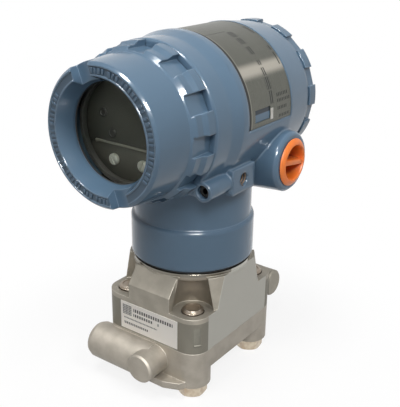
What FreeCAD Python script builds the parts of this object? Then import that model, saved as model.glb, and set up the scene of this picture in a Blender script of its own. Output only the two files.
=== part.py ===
import FreeCAD, Part
import math
import os
import Sketcher

# Pressure transmitter: a two-compartment cast housing on a swivelling neck, over a
# stainless sensor module bolted to a process flange.
# All lengths are in millimetres, +Z is up along the neck, the housing axis lies along Y,
# the windowed cover faces -Y and the origin is on the underside of the process flange.

doc = FreeCAD.newDocument("pressure_transmitter")
sheet = doc.addObject("Spreadsheet::Sheet", "Sizes")


class Size:
    """A driving size: its value and the expression that the objects are bound to."""

    def __init__(self, value, text):
        self.value = value
        self.text = text

    def __add__(self, other):
        other = as_size(other)
        return Size(self.value + other.value, "(%s + %s)" % (self.text, other.text))

    def __radd__(self, other):
        return as_size(other) + self

    def __sub__(self, other):
        other = as_size(other)
        return Size(self.value - other.value, "(%s - %s)" % (self.text, other.text))

    def __rsub__(self, other):
        return as_size(other) - self

    def __mul__(self, other):
        other = as_size(other)
        return Size(self.value * other.value, "(%s * %s)" % (self.text, other.text))

    def __rmul__(self, other):
        return as_size(other) * self

    def __truediv__(self, other):
        other = as_size(other)
        return Size(self.value / other.value, "(%s / %s)" % (self.text, other.text))

    def __neg__(self):
        return Size(-self.value, "(0 - %s)" % self.text)


def as_size(number):
    if isinstance(number, Size):
        return number
    return Size(float(number), "(%r)" % float(number) if number < 0 else "%r" % float(number))


row_count = 0


def sine(angle):
    return Size(math.sin(math.radians(angle.value)), "sin(%s * 1 deg)" % angle.text)


def cosine(angle):
    return Size(math.cos(math.radians(angle.value)), "cos(%s * 1 deg)" % angle.text)


def size(name, value):
    """Write one driving size to the sheet and return it."""
    global row_count
    row_count += 1
    sheet.set("A%d" % row_count, name)
    sheet.set("B%d" % row_count, "%r" % value)
    sheet.setAlias("B%d" % row_count, name)
    return Size(float(value), "Sizes.%s" % name)


# Overall layout
axis_height = size("axis_height", 134.5)
conduit_drop = size("conduit_drop", 25.9)
conduit_height = axis_height - conduit_drop
conduit_back = size("conduit_back", 24.9)
collar_radius = size("collar_radius", 31.7)
collar_round = size("collar_round", 1.6)
neck_radius = collar_radius - collar_round
bolt_half_x = size("bolt_half_x", 20.65)
bolt_half_y = size("bolt_half_y", 27.0)

# General fits and finishing
fit_gap = size("fit_gap", 0.3)
close_gap = size("close_gap", 0.1)
cut_margin = size("cut_margin", 2.0)
small_edge = size("small_edge", 0.8)

# Front cover
window_radius = size("window_radius", 22.8)
funnel_flare = size("funnel_flare", 3.3)
funnel_depth = size("funnel_depth", 7.7)
lip_thickness = size("lip_thickness", 1.2)
ring_face_width = size("ring_face_width", 5.9)
ring_edge = size("ring_edge", 1.2)
ring_lip = size("ring_lip", 0.7)
ring_recess = size("ring_recess", 0.5)
ring_bore = window_radius + funnel_flare
ring_radius = ring_bore + ring_face_width
barrel_draft = size("barrel_draft", 1.3)
barrel_length = size("barrel_length", 19.8)
barrel_rear_radius = ring_radius + barrel_draft
tooth_height = size("tooth_height", 3.9)
tooth_low_height = size("tooth_low_height", 2.3)
tooth_floor_rise = size("tooth_floor_rise", 0.6)
tooth_length = size("tooth_length", 13.2)
tooth_high_length = size("tooth_high_length", 7.2)
tooth_slope = size("tooth_slope", 2.3)
tooth_radius = barrel_rear_radius + tooth_height
tooth_low_radius = barrel_rear_radius + tooth_low_height
tooth_floor = barrel_rear_radius + tooth_floor_rise
tooth_count = size("tooth_count", 12)
tooth_gap_width = size("tooth_gap_width", 9.2)
tooth_turn = size("tooth_turn", 5.0)
rear_tooth_turn = size("rear_tooth_turn", 12.0)
cover_overhang = size("cover_overhang", 3.9)
cover_seat = neck_radius + cover_overhang
tooth_step = cover_seat + tooth_high_length
tooth_front = cover_seat + tooth_length
ring_front = tooth_front + barrel_length
skirt_step = size("skirt_step", 4.4)
skirt_length = size("skirt_length", 12.0)
skirt_wall = size("skirt_wall", 4.3)
skirt_radius = tooth_radius - skirt_step
cover_bore = skirt_radius - skirt_wall
spanner_slot_width = size("spanner_slot_width", 11.0)
spanner_slot_depth = size("spanner_slot_depth", 5.0)
spanner_slot_turn = size("spanner_slot_turn", -20.0)

# Window stack
glass_ledge = size("glass_ledge", 2.6)
glass_thickness = size("glass_thickness", 4.5)
gasket_thickness = size("gasket_thickness", 0.8)
retainer_length = size("retainer_length", 2.5)
retainer_ledge = size("retainer_ledge", 0.6)
glass_radius = window_radius + glass_ledge
retainer_bore = window_radius + retainer_ledge
funnel_end = ring_front - funnel_depth
lip_back = funnel_end - lip_thickness
glass_front = lip_back - gasket_thickness
glass_rear = glass_front - glass_thickness
retainer_rear = glass_rear - retainer_length
glass_pocket_radius = glass_radius + close_gap

# Cover seals
seal_section = size("seal_section", 1.05)
seal_groove_depth = size("seal_groove_depth", 1.9)
seal_groove_width = size("seal_groove_width", 2.6)

# Rear cover
rear_cover_depth = size("rear_cover_depth", 9.7)
rear_face_step = size("rear_face_step", 7.1)
rear_tooth_height = size("rear_tooth_height", 1.9)
rear_tooth_length = size("rear_tooth_length", 6.6)
rear_wall = size("rear_wall", 5.0)
rear_skirt_length = size("rear_skirt_length", 10.0)
rear_tooth_radius = tooth_radius - close_gap
rear_rim_radius = rear_tooth_radius - rear_tooth_height
rear_face_radius = rear_tooth_radius - rear_face_step

# Housing barrel
shoulder_rise = size("shoulder_rise", 1.9)
shoulder_slope_length = size("shoulder_slope_length", 7.0)
front_ring_length = size("front_ring_length", 12.0)
front_ring_rise = size("front_ring_rise", 0.2)
front_ring_radius = tooth_radius + front_ring_rise
shoulder_radius = tooth_radius + shoulder_rise
shoulder_front = cover_seat - front_ring_length
shoulder_rear = shoulder_front - shoulder_slope_length
plate_margin = size("plate_margin", 4.4)
plate_front = shoulder_rear - plate_margin
plate_rear = size("plate_rear", 28.0)
plate_recess = size("plate_recess", 1.1)
plate_angle = size("plate_angle", 190.0)
rear_lip_draft = size("rear_lip_draft", 0.4)
rear_draft = size("rear_draft", 2.5)
rear_lip_radius = shoulder_radius - rear_lip_draft
rear_radius = shoulder_radius - rear_draft
housing_rear = size("housing_rear", 50.0)
front_cavity_step = size("front_cavity_step", 1.8)
rear_cavity_step = size("rear_cavity_step", 2.8)
front_cavity_radius = skirt_radius - front_cavity_step
rear_cavity_radius = skirt_radius - rear_cavity_step
wall_front = size("wall_front", 6.0)
wall_thickness = size("wall_thickness", 4.0)

# Nameplate
plate_thickness = size("plate_thickness", 0.5)
plate_slot_front = size("plate_slot_front", 4.8)
plate_slot_rear = size("plate_slot_rear", 8.5)
plate_slot_low = size("plate_slot_low", 0.6)
plate_slot_high = size("plate_slot_high", 5.3)

# Neck and collar
collar_bottom = size("collar_bottom", 59.7)
collar_height = size("collar_height", 21.6)
neck_wall = size("neck_wall", 5.6)
neck_top_drop = size("neck_top_drop", 19.5)
module_neck_rise = size("module_neck_rise", 2.7)
header_room = size("header_room", 6.0)
cable_bore = size("cable_bore", 5.6)
set_screw_rise = size("set_screw_rise", 10.8)
set_screw_radius = size("set_screw_radius", 2.0)
set_screw_length = size("set_screw_length", 6.0)
collar_top = collar_bottom + collar_height
neck_bore = neck_radius - neck_wall
neck_rise = axis_height - neck_top_drop
module_neck_top = collar_top + module_neck_rise
neck_bore_end = module_neck_top + header_room
set_screw_height = collar_bottom + set_screw_rise

# Conduit entries
conduit_reach = size("conduit_reach", 42.3)
conduit_bore = size("conduit_bore", 10.4)
conduit_wall = size("conduit_wall", 4.8)
conduit_draft = size("conduit_draft", 1.4)
conduit_root_length = size("conduit_root_length", 20.3)
conduit_edge = size("conduit_edge", 1.4)
conduit_end_radius = conduit_bore + conduit_wall
conduit_root_radius = conduit_end_radius + conduit_draft
conduit_root_reach = conduit_reach - conduit_root_length

# Ground block and jam-screw boss
block_stand = size("block_stand", 5.2)
block_reach = neck_radius + block_stand
block_front = size("block_front", 17.0)
block_rear = size("block_rear", 1.8)
block_drop = size("block_drop", 33.3)
block_height = size("block_height", 12.4)
block_low = axis_height - block_drop
block_high = block_low + block_height
ground_hole_radius = size("ground_hole_radius", 3.3)
ground_hole_depth = size("ground_hole_depth", 9.0)
ground_hole_back = size("ground_hole_back", 7.5)
ground_hole_rise = size("ground_hole_rise", 6.0)
ground_hole_height = block_low + ground_hole_rise
jam_boss_radius = size("jam_boss_radius", 4.7)
jam_boss_stand = size("jam_boss_stand", 3.4)
jam_angle = size("jam_angle", 47.7)
jam_hole_radius = size("jam_hole_radius", 3.2)
jam_hole_depth = size("jam_hole_depth", 11.0)
jam_screw_length = size("jam_screw_length", 7.0)
jam_screw_sink = size("jam_screw_sink", 2.0)
jam_circle = front_ring_radius + jam_boss_stand
jam_reach = jam_circle * sine(jam_angle)
jam_height = axis_height - jam_circle * cosine(jam_angle)

# Electronics
case_clearance = size("case_clearance", 2.1)
case_window_gap = size("case_window_gap", 0.9)
case_step = size("case_step", 1.8)
case_step_drop = size("case_step_drop", 8.3)
case_rear = size("case_rear", 14.0)
board_thickness = size("board_thickness", 1.6)
captive_rim = size("captive_rim", 10.4)
captive_spacing = size("captive_spacing", 17.0)
captive_shift = size("captive_shift", -0.7)
captive_head_radius = size("captive_head_radius", 2.7)
captive_head_height = size("captive_head_height", 1.6)
captive_shank_radius = size("captive_shank_radius", 1.5)
captive_grip = size("captive_grip", 3.0)
captive_relief = size("captive_relief", 0.25)
case_radius = cover_bore - case_clearance
case_front = retainer_rear - case_window_gap
captive_drop = case_radius - captive_rim

# Terminal block
terminal_width = size("terminal_width", 42.0)
terminal_depth = size("terminal_depth", 14.0)
terminal_height = size("terminal_height", 22.0)
terminal_drop = size("terminal_drop", 8.0)
terminal_pitch = size("terminal_pitch", 12.0)
terminal_screw_radius = size("terminal_screw_radius", 2.5)
terminal_screw_depth = size("terminal_screw_depth", 8.0)
terminal_screw_rise = size("terminal_screw_rise", 5.0)
terminal_head_radius = size("terminal_head_radius", 4.0)
terminal_head_height = size("terminal_head_height", 2.2)
terminal_fixing_spacing = size("terminal_fixing_spacing", 33.0)
terminal_fixing_rise = size("terminal_fixing_rise", 17.0)
terminal_fixing_radius = size("terminal_fixing_radius", 1.5)
terminal_fixing_grip = size("terminal_fixing_grip", 2.5)

# Conduit plugs
plug_rim_width = size("plug_rim_width", 1.9)
plug_rim_thickness = size("plug_rim_thickness", 2.0)
plug_depth = size("plug_depth", 13.0)
plug_wall = size("plug_wall", 2.0)
plug_cup_depth = size("plug_cup_depth", 8.5)
plug_bar_width = size("plug_bar_width", 3.2)
plug_bar_sink = size("plug_bar_sink", 0.6)
plug_turn = size("plug_turn", -10.0)
plug_rim_radius = conduit_bore + plug_rim_width
plug_cup_radius = conduit_bore - plug_wall

# Sensor module
seam_height = size("seam_height", 20.8)
ear_radius = size("ear_radius", 9.5)
ear_height = size("ear_height", 19.4)
module_half_x = bolt_half_x + ear_radius
module_half_y = bolt_half_y + ear_radius
ear_top = seam_height + ear_height
collar_gap = size("collar_gap", 1.3)
turned_ring_step = size("turned_ring_step", 0.8)
turned_ring_height = size("turned_ring_height", 1.6)
turned_ring_root = size("turned_ring_root", 1.6)
turned_ring_radius = collar_radius - turned_ring_step
turned_ring_top = collar_bottom - collar_gap
turned_ring_low = turned_ring_top - turned_ring_height
shoulder_low_draft = size("shoulder_low_draft", 4.5)
shoulder_high_draft = size("shoulder_high_draft", 1.9)
shoulder_low_radius = turned_ring_radius + shoulder_low_draft
shoulder_high_radius = turned_ring_radius + shoulder_high_draft
facet_half_width = size("facet_half_width", 13.0)
facet_rise = size("facet_rise", 7.8)
facet_crease = ear_top + facet_rise
facet_top_sink = size("facet_top_sink", 0.9)
facet_top_reach = turned_ring_radius - facet_top_sink
scoop_margin = size("scoop_margin", 0.8)
scoop_taper = size("scoop_taper", 2.8)
scoop_low_radius = ear_radius + scoop_margin
scoop_high_radius = scoop_low_radius - scoop_taper
bolt_radius = size("bolt_radius", 5.5)
bolt_clearance = size("bolt_clearance", 0.35)
bolt_hole_radius = bolt_radius + bolt_clearance
back_arm_half = size("back_arm_half", 29.4)
back_arm_step = size("back_arm_step", 0.5)
back_arm_rise = size("back_arm_rise", 10.6)
back_arm_radius = size("back_arm_radius", 7.3)
back_arm_reach = module_half_y + back_arm_step
back_arm_height = seam_height + back_arm_rise
header_width = size("header_width", 16.0)
header_depth = size("header_depth", 9.0)
header_height = size("header_height", 3.5)

# Label
label_half_width = size("label_half_width", 18.35)
label_margin = size("label_margin", 1.0)
label_height = size("label_height", 15.6)
label_thickness = size("label_thickness", 0.25)
label_low = seam_height + label_margin
label_high = label_low + label_height

# Ribbon cable
ribbon_width = size("ribbon_width", 10.0)
ribbon_thickness = size("ribbon_thickness", 0.8)
ribbon_drop = size("ribbon_drop", 23.5)
ribbon_top = axis_height - ribbon_drop

# Isolators and process seals
isolator_back = size("isolator_back", 16.6)
isolator_radius = size("isolator_radius", 11.0)
isolator_thickness = size("isolator_thickness", 0.4)
chamber_radius = size("chamber_radius", 12.2)
chamber_depth = size("chamber_depth", 3.0)
process_seal_radius = size("process_seal_radius", 14.3)
process_seal_section = size("process_seal_section", 1.1)

# Process flange
flange_web = size("flange_web", 10.2)
foot_lift = size("foot_lift", 0.6)
pad_half_width = size("pad_half_width", 10.4)
pad_half_length = size("pad_half_length", 36.0)
lip_half_width = size("lip_half_width", 14.0)
lip_reach = size("lip_reach", 42.6)
lip_corner_half_width = size("lip_corner_half_width", 21.5)
lip_corner_reach = size("lip_corner_reach", 39.4)
lip_root_half_width = size("lip_root_half_width", 24.5)
lip_root_reach = size("lip_root_reach", 34.0)
lip_height = size("lip_height", 4.2)
arm_radius = size("arm_radius", 9.7)
arm_height = size("arm_height", 10.4)
arm_back = size("arm_back", 39.0)
arm_end = size("arm_end", 33.6)
arm_round = size("arm_round", 3.0)
boss_shift = size("boss_shift", 4.4)
boss_height = size("boss_height", 11.7)
boss_radius = size("boss_radius", 7.7)
boss_end = size("boss_end", 50.3)
boss_edge = size("boss_edge", 0.9)
port_radius = size("port_radius", 5.56)
port_depth = size("port_depth", 13.5)
passage_radius = size("passage_radius", 2.2)

# Flange bolts
bolt_end_rise = size("bolt_end_rise", 2.1)
bolt_end_height = ear_top + bolt_end_rise
bolt_end_edge = size("bolt_end_edge", 0.9)
bolt_head_flats = size("bolt_head_flats", 13.5)
bolt_head_height = size("bolt_head_height", 7.1)
bolt_head_turn = size("bolt_head_turn", 6.0)

doc.recompute()

nodes = []


def bind(target, name, value):
    """Bind a property of an object to a size, or set it to a fixed number."""
    if isinstance(value, Size):
        target.setExpression(name, value.text)
    else:
        setattr(target, name, value)


def place(target, at):
    for letter, value in zip("xyz", at):
        if isinstance(value, Size):
            target.setExpression("Placement.Base." + letter, value.text)


TURN_Z = FreeCAD.Rotation()
TURN_Y = FreeCAD.Rotation(FreeCAD.Vector(1, 0, 0), -90)
TURN_X = FreeCAD.Rotation(FreeCAD.Vector(0, 1, 0), 90)


def cylinder(name, radius, length, at, turn=TURN_Z):
    """A cylinder that starts at a point and runs along +Z, +Y or +X."""
    made = doc.addObject("Part::Cylinder", name)
    bind(made, "Radius", radius)
    bind(made, "Height", length)
    made.Placement = FreeCAD.Placement(FreeCAD.Vector(0, 0, 0), turn)
    place(made, at)
    return made


def cone(name, low_radius, high_radius, length, at):
    made = doc.addObject("Part::Cone", name)
    bind(made, "Radius1", low_radius)
    bind(made, "Radius2", high_radius)
    bind(made, "Height", length)
    place(made, at)
    return made


def box(name, low, high):
    """A box between two corners."""
    made = doc.addObject("Part::Box", name)
    for prop, start, end in zip(("Length", "Width", "Height"), low, high):
        bind(made, prop, as_size(end) - start)
    place(made, [as_size(value) for value in low])
    return made


def torus(name, ring, section, at, turn=TURN_Z):
    made = doc.addObject("Part::Torus", name)
    bind(made, "Radius1", ring)
    bind(made, "Radius2", section)
    made.Placement = FreeCAD.Placement(FreeCAD.Vector(0, 0, 0), turn)
    place(made, at)
    return made


def cut(name, base, tool):
    made = doc.addObject("Part::Cut", name)
    made.Base = base
    made.Tool = tool
    made.Refine = True
    return made


def fuse(name, shapes):
    made = doc.addObject("Part::MultiFuse", name)
    made.Shapes = shapes
    made.Refine = True
    return made


def common(name, shapes):
    made = doc.addObject("Part::MultiCommon", name)
    made.Shapes = shapes
    return made


def group(name, shapes):
    """Several equal solids kept as one node."""
    made = doc.addObject("Part::Compound", name)
    made.Links = shapes
    return made


def node(made, label):
    """Name a finished sub-part; the label is also its file name."""
    made.Label = label
    nodes.append(made)
    return made


def new_body(name, at=()):
    body = doc.addObject("PartDesign::Body", name)
    place(body, at)
    return body


def plane_of(body, role):
    for feature in body.Origin.OriginFeatures:
        if feature.Role == role:
            return feature


def new_sketch(body, name, role, offset=(), turn=None):
    """A sketch on one of the body's own planes, shifted by sizes and turned in its plane."""
    sketch = body.newObject("Sketcher::SketchObject", name)
    sketch.AttachmentSupport = (plane_of(body, role), [""])
    sketch.MapMode = "FlatFace"
    if turn is not None:
        sketch.AttachmentOffset = FreeCAD.Placement(
            FreeCAD.Vector(0, 0, 0), FreeCAD.Rotation(FreeCAD.Vector(0, 0, 1), turn.value))
        sketch.setExpression("AttachmentOffset.Rotation.Angle", turn.text)
    for letter, value in zip("xyz", offset):
        if isinstance(value, Size):
            sketch.setExpression("AttachmentOffset.Base." + letter, value.text)
    return sketch


def outline(sketch, points):
    """A closed polygon whose corners are held at sizes along both sketch axes."""
    places = [(as_size(across), as_size(along)) for across, along in points]
    corners = [FreeCAD.Vector(across.value, along.value, 0) for across, along in places]
    first = sketch.GeometryCount
    count = len(corners)
    for index in range(count):
        sketch.addGeometry(Part.LineSegment(corners[index], corners[(index + 1) % count]), False)
    for index in range(count):
        following = first + (index + 1) % count
        sketch.addConstraint(Sketcher.Constraint("Coincident", first + index, 2, following, 1))
    for index, (across, along) in enumerate(places):
        for kind, axis, value in (("DistanceX", -2, across), ("DistanceY", -1, along)):
            if value.text == "0.0":
                sketch.addConstraint(Sketcher.Constraint("PointOnObject", first + index, 1, axis))
            else:
                made = sketch.addConstraint(Sketcher.Constraint(kind, -1, 1, first + index, 1,
                                                                value.value))
                sketch.setExpression("Constraints[%d]" % made, value.text)


def round_outline(sketch, radius, across, along):
    """A circle held at sizes along both sketch axes."""
    across = as_size(across)
    along = as_size(along)
    made = sketch.addGeometry(
        Part.Circle(FreeCAD.Vector(across.value, along.value, 0), FreeCAD.Vector(0, 0, 1), radius.value),
        False)
    held = sketch.addConstraint(Sketcher.Constraint("Radius", made, radius.value))
    sketch.setExpression("Constraints[%d]" % held, radius.text)
    for kind, axis, value in (("DistanceX", -2, across), ("DistanceY", -1, along)):
        if value.text == "0.0":
            sketch.addConstraint(Sketcher.Constraint("PointOnObject", made, 3, axis))
        else:
            held = sketch.addConstraint(Sketcher.Constraint(kind, -1, 1, made, 3, value.value))
            sketch.setExpression("Constraints[%d]" % held, value.text)


def revolve(body, name, sketch, axis, angle=None, remove=False):
    """Turn a sketch about one of its own axes, adding or removing material."""
    made = body.newObject("PartDesign::Groove" if remove else "PartDesign::Revolution", name)
    made.Profile = sketch
    made.ReferenceAxis = (sketch, [axis])
    made.Angle = 360.0
    if angle is not None:
        bind(made, "Angle", angle)
        made.Midplane = True
    sketch.Visibility = False
    return made


def pad(body, name, sketch, length, reverse=False):
    made = body.newObject("PartDesign::Pad", name)
    made.Profile = sketch
    bind(made, "Length", length)
    made.Reversed = reverse
    return made


def pocket(body, name, sketch, length, reverse=False):
    made = body.newObject("PartDesign::Pocket", name)
    made.Profile = sketch
    bind(made, "Length", length)
    made.Reversed = reverse
    return made


def circular_pattern(body, name, feature, axis, count):
    """Repeat a feature evenly around one of the body's own axes."""
    made = body.newObject("PartDesign::PolarPattern", name)
    made.Originals = [feature]
    made.Axis = (plane_of(body, axis), [""])
    made.Angle = 360.0
    bind(made, "Occurrences", count)
    body.Tip = made
    return made


# Planes along the housing axis that several pieces share
housing_front = cover_seat - fit_gap
cover_thread_bore = skirt_radius + fit_gap
thread_bore_end = cover_seat - skirt_length - cut_margin
rear_seat = housing_rear + fit_gap
rear_end = rear_seat + rear_cover_depth
wall_rear = wall_front + wall_thickness
rear_skirt_end = rear_seat - rear_skirt_length
rear_thread_end = rear_skirt_end - cut_margin

# Front cover: stepped barrel, funnel, window lip, skirt with seal groove
cover = new_body("front_cover_body", (0, 0, axis_height))
cover_profile = new_sketch(cover, "front_cover_profile", "XY_Plane")
outline(cover_profile, [
    (ring_bore, -ring_front),
    (ring_bore + ring_lip, -ring_front),
    (ring_bore + ring_lip, ring_recess - ring_front),
    (ring_radius - ring_edge - ring_lip, ring_recess - ring_front),
    (ring_radius - ring_edge - ring_lip, -ring_front),
    (ring_radius - ring_edge, -ring_front),
    (ring_radius, ring_edge - ring_front),
    (barrel_rear_radius, -tooth_front),
    (tooth_low_radius, tooth_slope - tooth_front),
    (tooth_low_radius, -tooth_step),
    (tooth_radius, tooth_slope - tooth_step),
    (tooth_radius, -cover_seat),
    (skirt_radius - seal_groove_depth, -cover_seat),
    (skirt_radius - seal_groove_depth, seal_groove_width - cover_seat),
    (skirt_radius, seal_groove_width - cover_seat),
    (skirt_radius, skirt_length - cover_seat),
    (cover_bore, skirt_length - cover_seat),
    (cover_bore, -retainer_rear),
    (glass_pocket_radius, -retainer_rear),
    (glass_pocket_radius, -lip_back),
    (window_radius, -lip_back),
    (window_radius, -funnel_end),
])
revolve(cover, "front_cover_turning", cover_profile, "V_Axis")
slot_sketch = new_sketch(cover, "spanner_slot_sketch", "XZ_Plane", (0, 0, ring_front), -spanner_slot_turn)
outline(slot_sketch, [
    (spanner_slot_width / -2, -ring_radius - cut_margin),
    (spanner_slot_width / 2, -ring_radius - cut_margin),
    (spanner_slot_width / 2, ring_radius + cut_margin),
    (spanner_slot_width / -2, ring_radius + cut_margin),
])
pocket(cover, "spanner_slots", slot_sketch, spanner_slot_depth)
gap_sketch = new_sketch(cover, "tooth_gap_sketch", "XZ_Plane", (0, 0, tooth_front + cut_margin),
                        -tooth_turn)
outline(gap_sketch, [
    (tooth_gap_width / -2, tooth_floor),
    (tooth_gap_width / 2, tooth_floor),
    (tooth_gap_width / 2, tooth_radius + cut_margin),
    (tooth_gap_width / -2, tooth_radius + cut_margin),
])
gap_cut = pocket(cover, "tooth_gap", gap_sketch, tooth_front + cut_margin - cover_seat + close_gap)
circular_pattern(cover, "tooth_gaps", gap_cut, "Y_Axis", tooth_count)
node(cover, "front_cover")

# Window stack behind the lip
node(cut("window_gasket_ring",
         cylinder("gasket_outside", glass_radius, gasket_thickness, (0, -lip_back, axis_height), TURN_Y),
         cylinder("gasket_hole", window_radius, gasket_thickness * 3,
                  (0, -lip_back - gasket_thickness, axis_height), TURN_Y)), "window_gasket")
node(cylinder("glass_disc", glass_radius, glass_thickness, (0, -glass_front, axis_height), TURN_Y),
     "window_glass")
node(cut("retainer_ring",
         cylinder("retainer_outside", glass_radius, retainer_length, (0, -glass_rear, axis_height),
                  TURN_Y),
         cylinder("retainer_hole", retainer_bore, retainer_length * 3,
                  (0, -glass_rear - retainer_length, axis_height), TURN_Y)), "window_retainer")

# Seal rings of the two covers
seal_ring_radius = skirt_radius - seal_groove_depth + seal_section + close_gap / 2
node(torus("front_seal_ring", seal_ring_radius, seal_section,
           (0, seal_groove_width / 2 - cover_seat, axis_height), TURN_Y), "front_cover_seal")
node(torus("rear_seal_ring", seal_ring_radius, seal_section,
           (0, rear_seat - seal_groove_width / 2, axis_height), TURN_Y), "rear_cover_seal")

# Rear cover: closed cap with a toothed rim
rear = new_body("rear_cover_body", (0, 0, axis_height))
rear_profile = new_sketch(rear, "rear_cover_profile", "XY_Plane")
outline(rear_profile, [
    (0, rear_end),
    (rear_face_radius, rear_end),
    (rear_rim_radius, rear_seat + rear_tooth_length),
    (rear_tooth_radius - small_edge, rear_seat + rear_tooth_length),
    (rear_tooth_radius, rear_seat + rear_tooth_length - small_edge),
    (rear_tooth_radius, rear_seat),
    (skirt_radius - seal_groove_depth, rear_seat),
    (skirt_radius - seal_groove_depth, rear_seat - seal_groove_width),
    (skirt_radius, rear_seat - seal_groove_width),
    (skirt_radius, rear_skirt_end),
    (cover_bore, rear_skirt_end),
    (cover_bore, rear_end - rear_wall),
    (0, rear_end - rear_wall),
])
revolve(rear, "rear_cover_turning", rear_profile, "V_Axis")
rear_gap_sketch = new_sketch(rear, "rear_gap_sketch", "XZ_Plane", (0, 0, -(rear_seat - close_gap)),
                             -rear_tooth_turn)
outline(rear_gap_sketch, [
    (tooth_gap_width / -2, rear_rim_radius),
    (tooth_gap_width / 2, rear_rim_radius),
    (tooth_gap_width / 2, rear_tooth_radius + cut_margin),
    (tooth_gap_width / -2, rear_tooth_radius + cut_margin),
])
rear_gap_cut = pocket(rear, "rear_gap", rear_gap_sketch, rear_tooth_length + cut_margin)
circular_pattern(rear, "rear_gaps", rear_gap_cut, "Y_Axis", tooth_count)
node(rear, "rear_cover")

# Housing: barrel, neck with collar, conduit bosses, ground block and jam-screw boss in one casting
housing = new_body("housing_body")
barrel_profile = new_sketch(housing, "barrel_profile", "YZ_Plane", (0, axis_height))
outline(barrel_profile, [
    (-housing_front, 0),
    (-housing_front, front_ring_radius - small_edge),
    (small_edge - housing_front, front_ring_radius),
    (-shoulder_front, front_ring_radius),
    (-shoulder_rear, shoulder_radius),
    (-plate_front, shoulder_radius),
    (plate_rear, rear_lip_radius),
    (housing_rear - small_edge, rear_radius),
    (housing_rear, rear_radius - small_edge),
    (housing_rear, 0),
])
revolve(housing, "barrel", barrel_profile, "H_Axis")
neck_profile = new_sketch(housing, "neck_profile", "XZ_Plane")
outline(neck_profile, [
    (0, collar_bottom),
    (collar_radius - small_edge, collar_bottom),
    (collar_radius, collar_bottom + small_edge),
    (collar_radius, collar_top - collar_round),
    (collar_radius - collar_round * 0.3, collar_top - collar_round * 0.3),
    (neck_radius, collar_top),
    (neck_radius, neck_rise),
    (0, neck_rise),
])
revolve(housing, "neck", neck_profile, "V_Axis")
conduit_profile = new_sketch(housing, "conduit_profile", "XZ_Plane", (0, conduit_height, -conduit_back))
outline(conduit_profile, [
    (-conduit_reach, 0),
    (-conduit_reach, conduit_end_radius - conduit_edge),
    (conduit_edge - conduit_reach, conduit_end_radius),
    (-conduit_root_reach, conduit_root_radius),
    (conduit_root_reach, conduit_root_radius),
    (conduit_reach - conduit_edge, conduit_end_radius),
    (conduit_reach, conduit_end_radius - conduit_edge),
    (conduit_reach, 0),
])
revolve(housing, "conduit_bosses", conduit_profile, "H_Axis")
block_sketch = new_sketch(housing, "ground_block_sketch", "YZ_Plane")
outline(block_sketch, [
    (-block_front, block_low),
    (block_rear, block_low),
    (block_rear, block_high),
    (-block_front, block_high),
])
pad(housing, "ground_block", block_sketch, block_reach)
jam_sketch = new_sketch(housing, "jam_boss_sketch", "XZ_Plane", (0, 0, housing_front))
round_outline(jam_sketch, jam_boss_radius, jam_reach, jam_height)
pad(housing, "jam_boss", jam_sketch, housing_front - block_front + close_gap, True)
web_sketch = new_sketch(housing, "jam_web_sketch", "XZ_Plane", (0, 0, housing_front - small_edge))
outline(web_sketch, [
    (jam_reach * 0.5, jam_height - jam_boss_radius * 0.7),
    (jam_reach, jam_height - jam_boss_radius * 0.7),
    (jam_reach, jam_height + jam_boss_radius * 0.7),
    (jam_reach * 0.5, jam_height + jam_boss_radius * 0.7),
])
pad(housing, "jam_web", web_sketch, housing_front - block_front, True)
recess_sketch = new_sketch(housing, "plate_recess_sketch", "YZ_Plane", (0, axis_height))
outline(recess_sketch, [
    (-plate_front, shoulder_radius - plate_recess),
    (plate_rear, shoulder_radius - plate_recess),
    (plate_rear, shoulder_radius + cut_margin),
    (-plate_front, shoulder_radius + cut_margin),
])
revolve(housing, "plate_recess_cut", recess_sketch, "H_Axis", plate_angle, True)
front_cavity_sketch = new_sketch(housing, "front_cavity_sketch", "YZ_Plane", (0, axis_height))
outline(front_cavity_sketch, [
    (-housing_front - cut_margin, 0),
    (-housing_front - cut_margin, cover_thread_bore),
    (-thread_bore_end, cover_thread_bore),
    (-thread_bore_end, front_cavity_radius),
    (wall_front, front_cavity_radius),
    (wall_front, 0),
])
revolve(housing, "front_cavity", front_cavity_sketch, "H_Axis", None, True)
rear_cavity_sketch = new_sketch(housing, "rear_cavity_sketch", "YZ_Plane", (0, axis_height))
outline(rear_cavity_sketch, [
    (wall_rear, 0),
    (wall_rear, rear_cavity_radius),
    (rear_thread_end, rear_cavity_radius),
    (rear_thread_end, cover_thread_bore),
    (housing_rear + cut_margin, cover_thread_bore),
    (housing_rear + cut_margin, 0),
])
revolve(housing, "rear_cavity", rear_cavity_sketch, "H_Axis", None, True)
neck_cavity_sketch = new_sketch(housing, "neck_cavity_sketch", "XZ_Plane")
outline(neck_cavity_sketch, [
    (0, collar_bottom - cut_margin),
    (neck_bore, collar_bottom - cut_margin),
    (neck_bore, neck_bore_end),
    (cable_bore, neck_bore_end),
    (cable_bore, axis_height - front_cavity_radius * 0.9),
    (0, axis_height - front_cavity_radius * 0.9),
])
revolve(housing, "neck_cavity", neck_cavity_sketch, "V_Axis", None, True)
conduit_bore_sketch = new_sketch(housing, "conduit_bore_sketch", "YZ_Plane",
                                 (0, 0, conduit_reach + cut_margin))
round_outline(conduit_bore_sketch, conduit_bore, conduit_back, conduit_height)
pocket(housing, "conduit_bores", conduit_bore_sketch, (conduit_reach + cut_margin) * 2)
ground_hole_sketch = new_sketch(housing, "ground_hole_sketch", "YZ_Plane", (0, 0, block_reach))
round_outline(ground_hole_sketch, ground_hole_radius, -ground_hole_back, ground_hole_height)
pocket(housing, "ground_hole", ground_hole_sketch, ground_hole_depth)
jam_hole_sketch = new_sketch(housing, "jam_hole_sketch", "XZ_Plane", (0, 0, housing_front))
round_outline(jam_hole_sketch, jam_hole_radius, jam_reach, jam_height)
pocket(housing, "jam_hole", jam_hole_sketch, jam_hole_depth)
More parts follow.
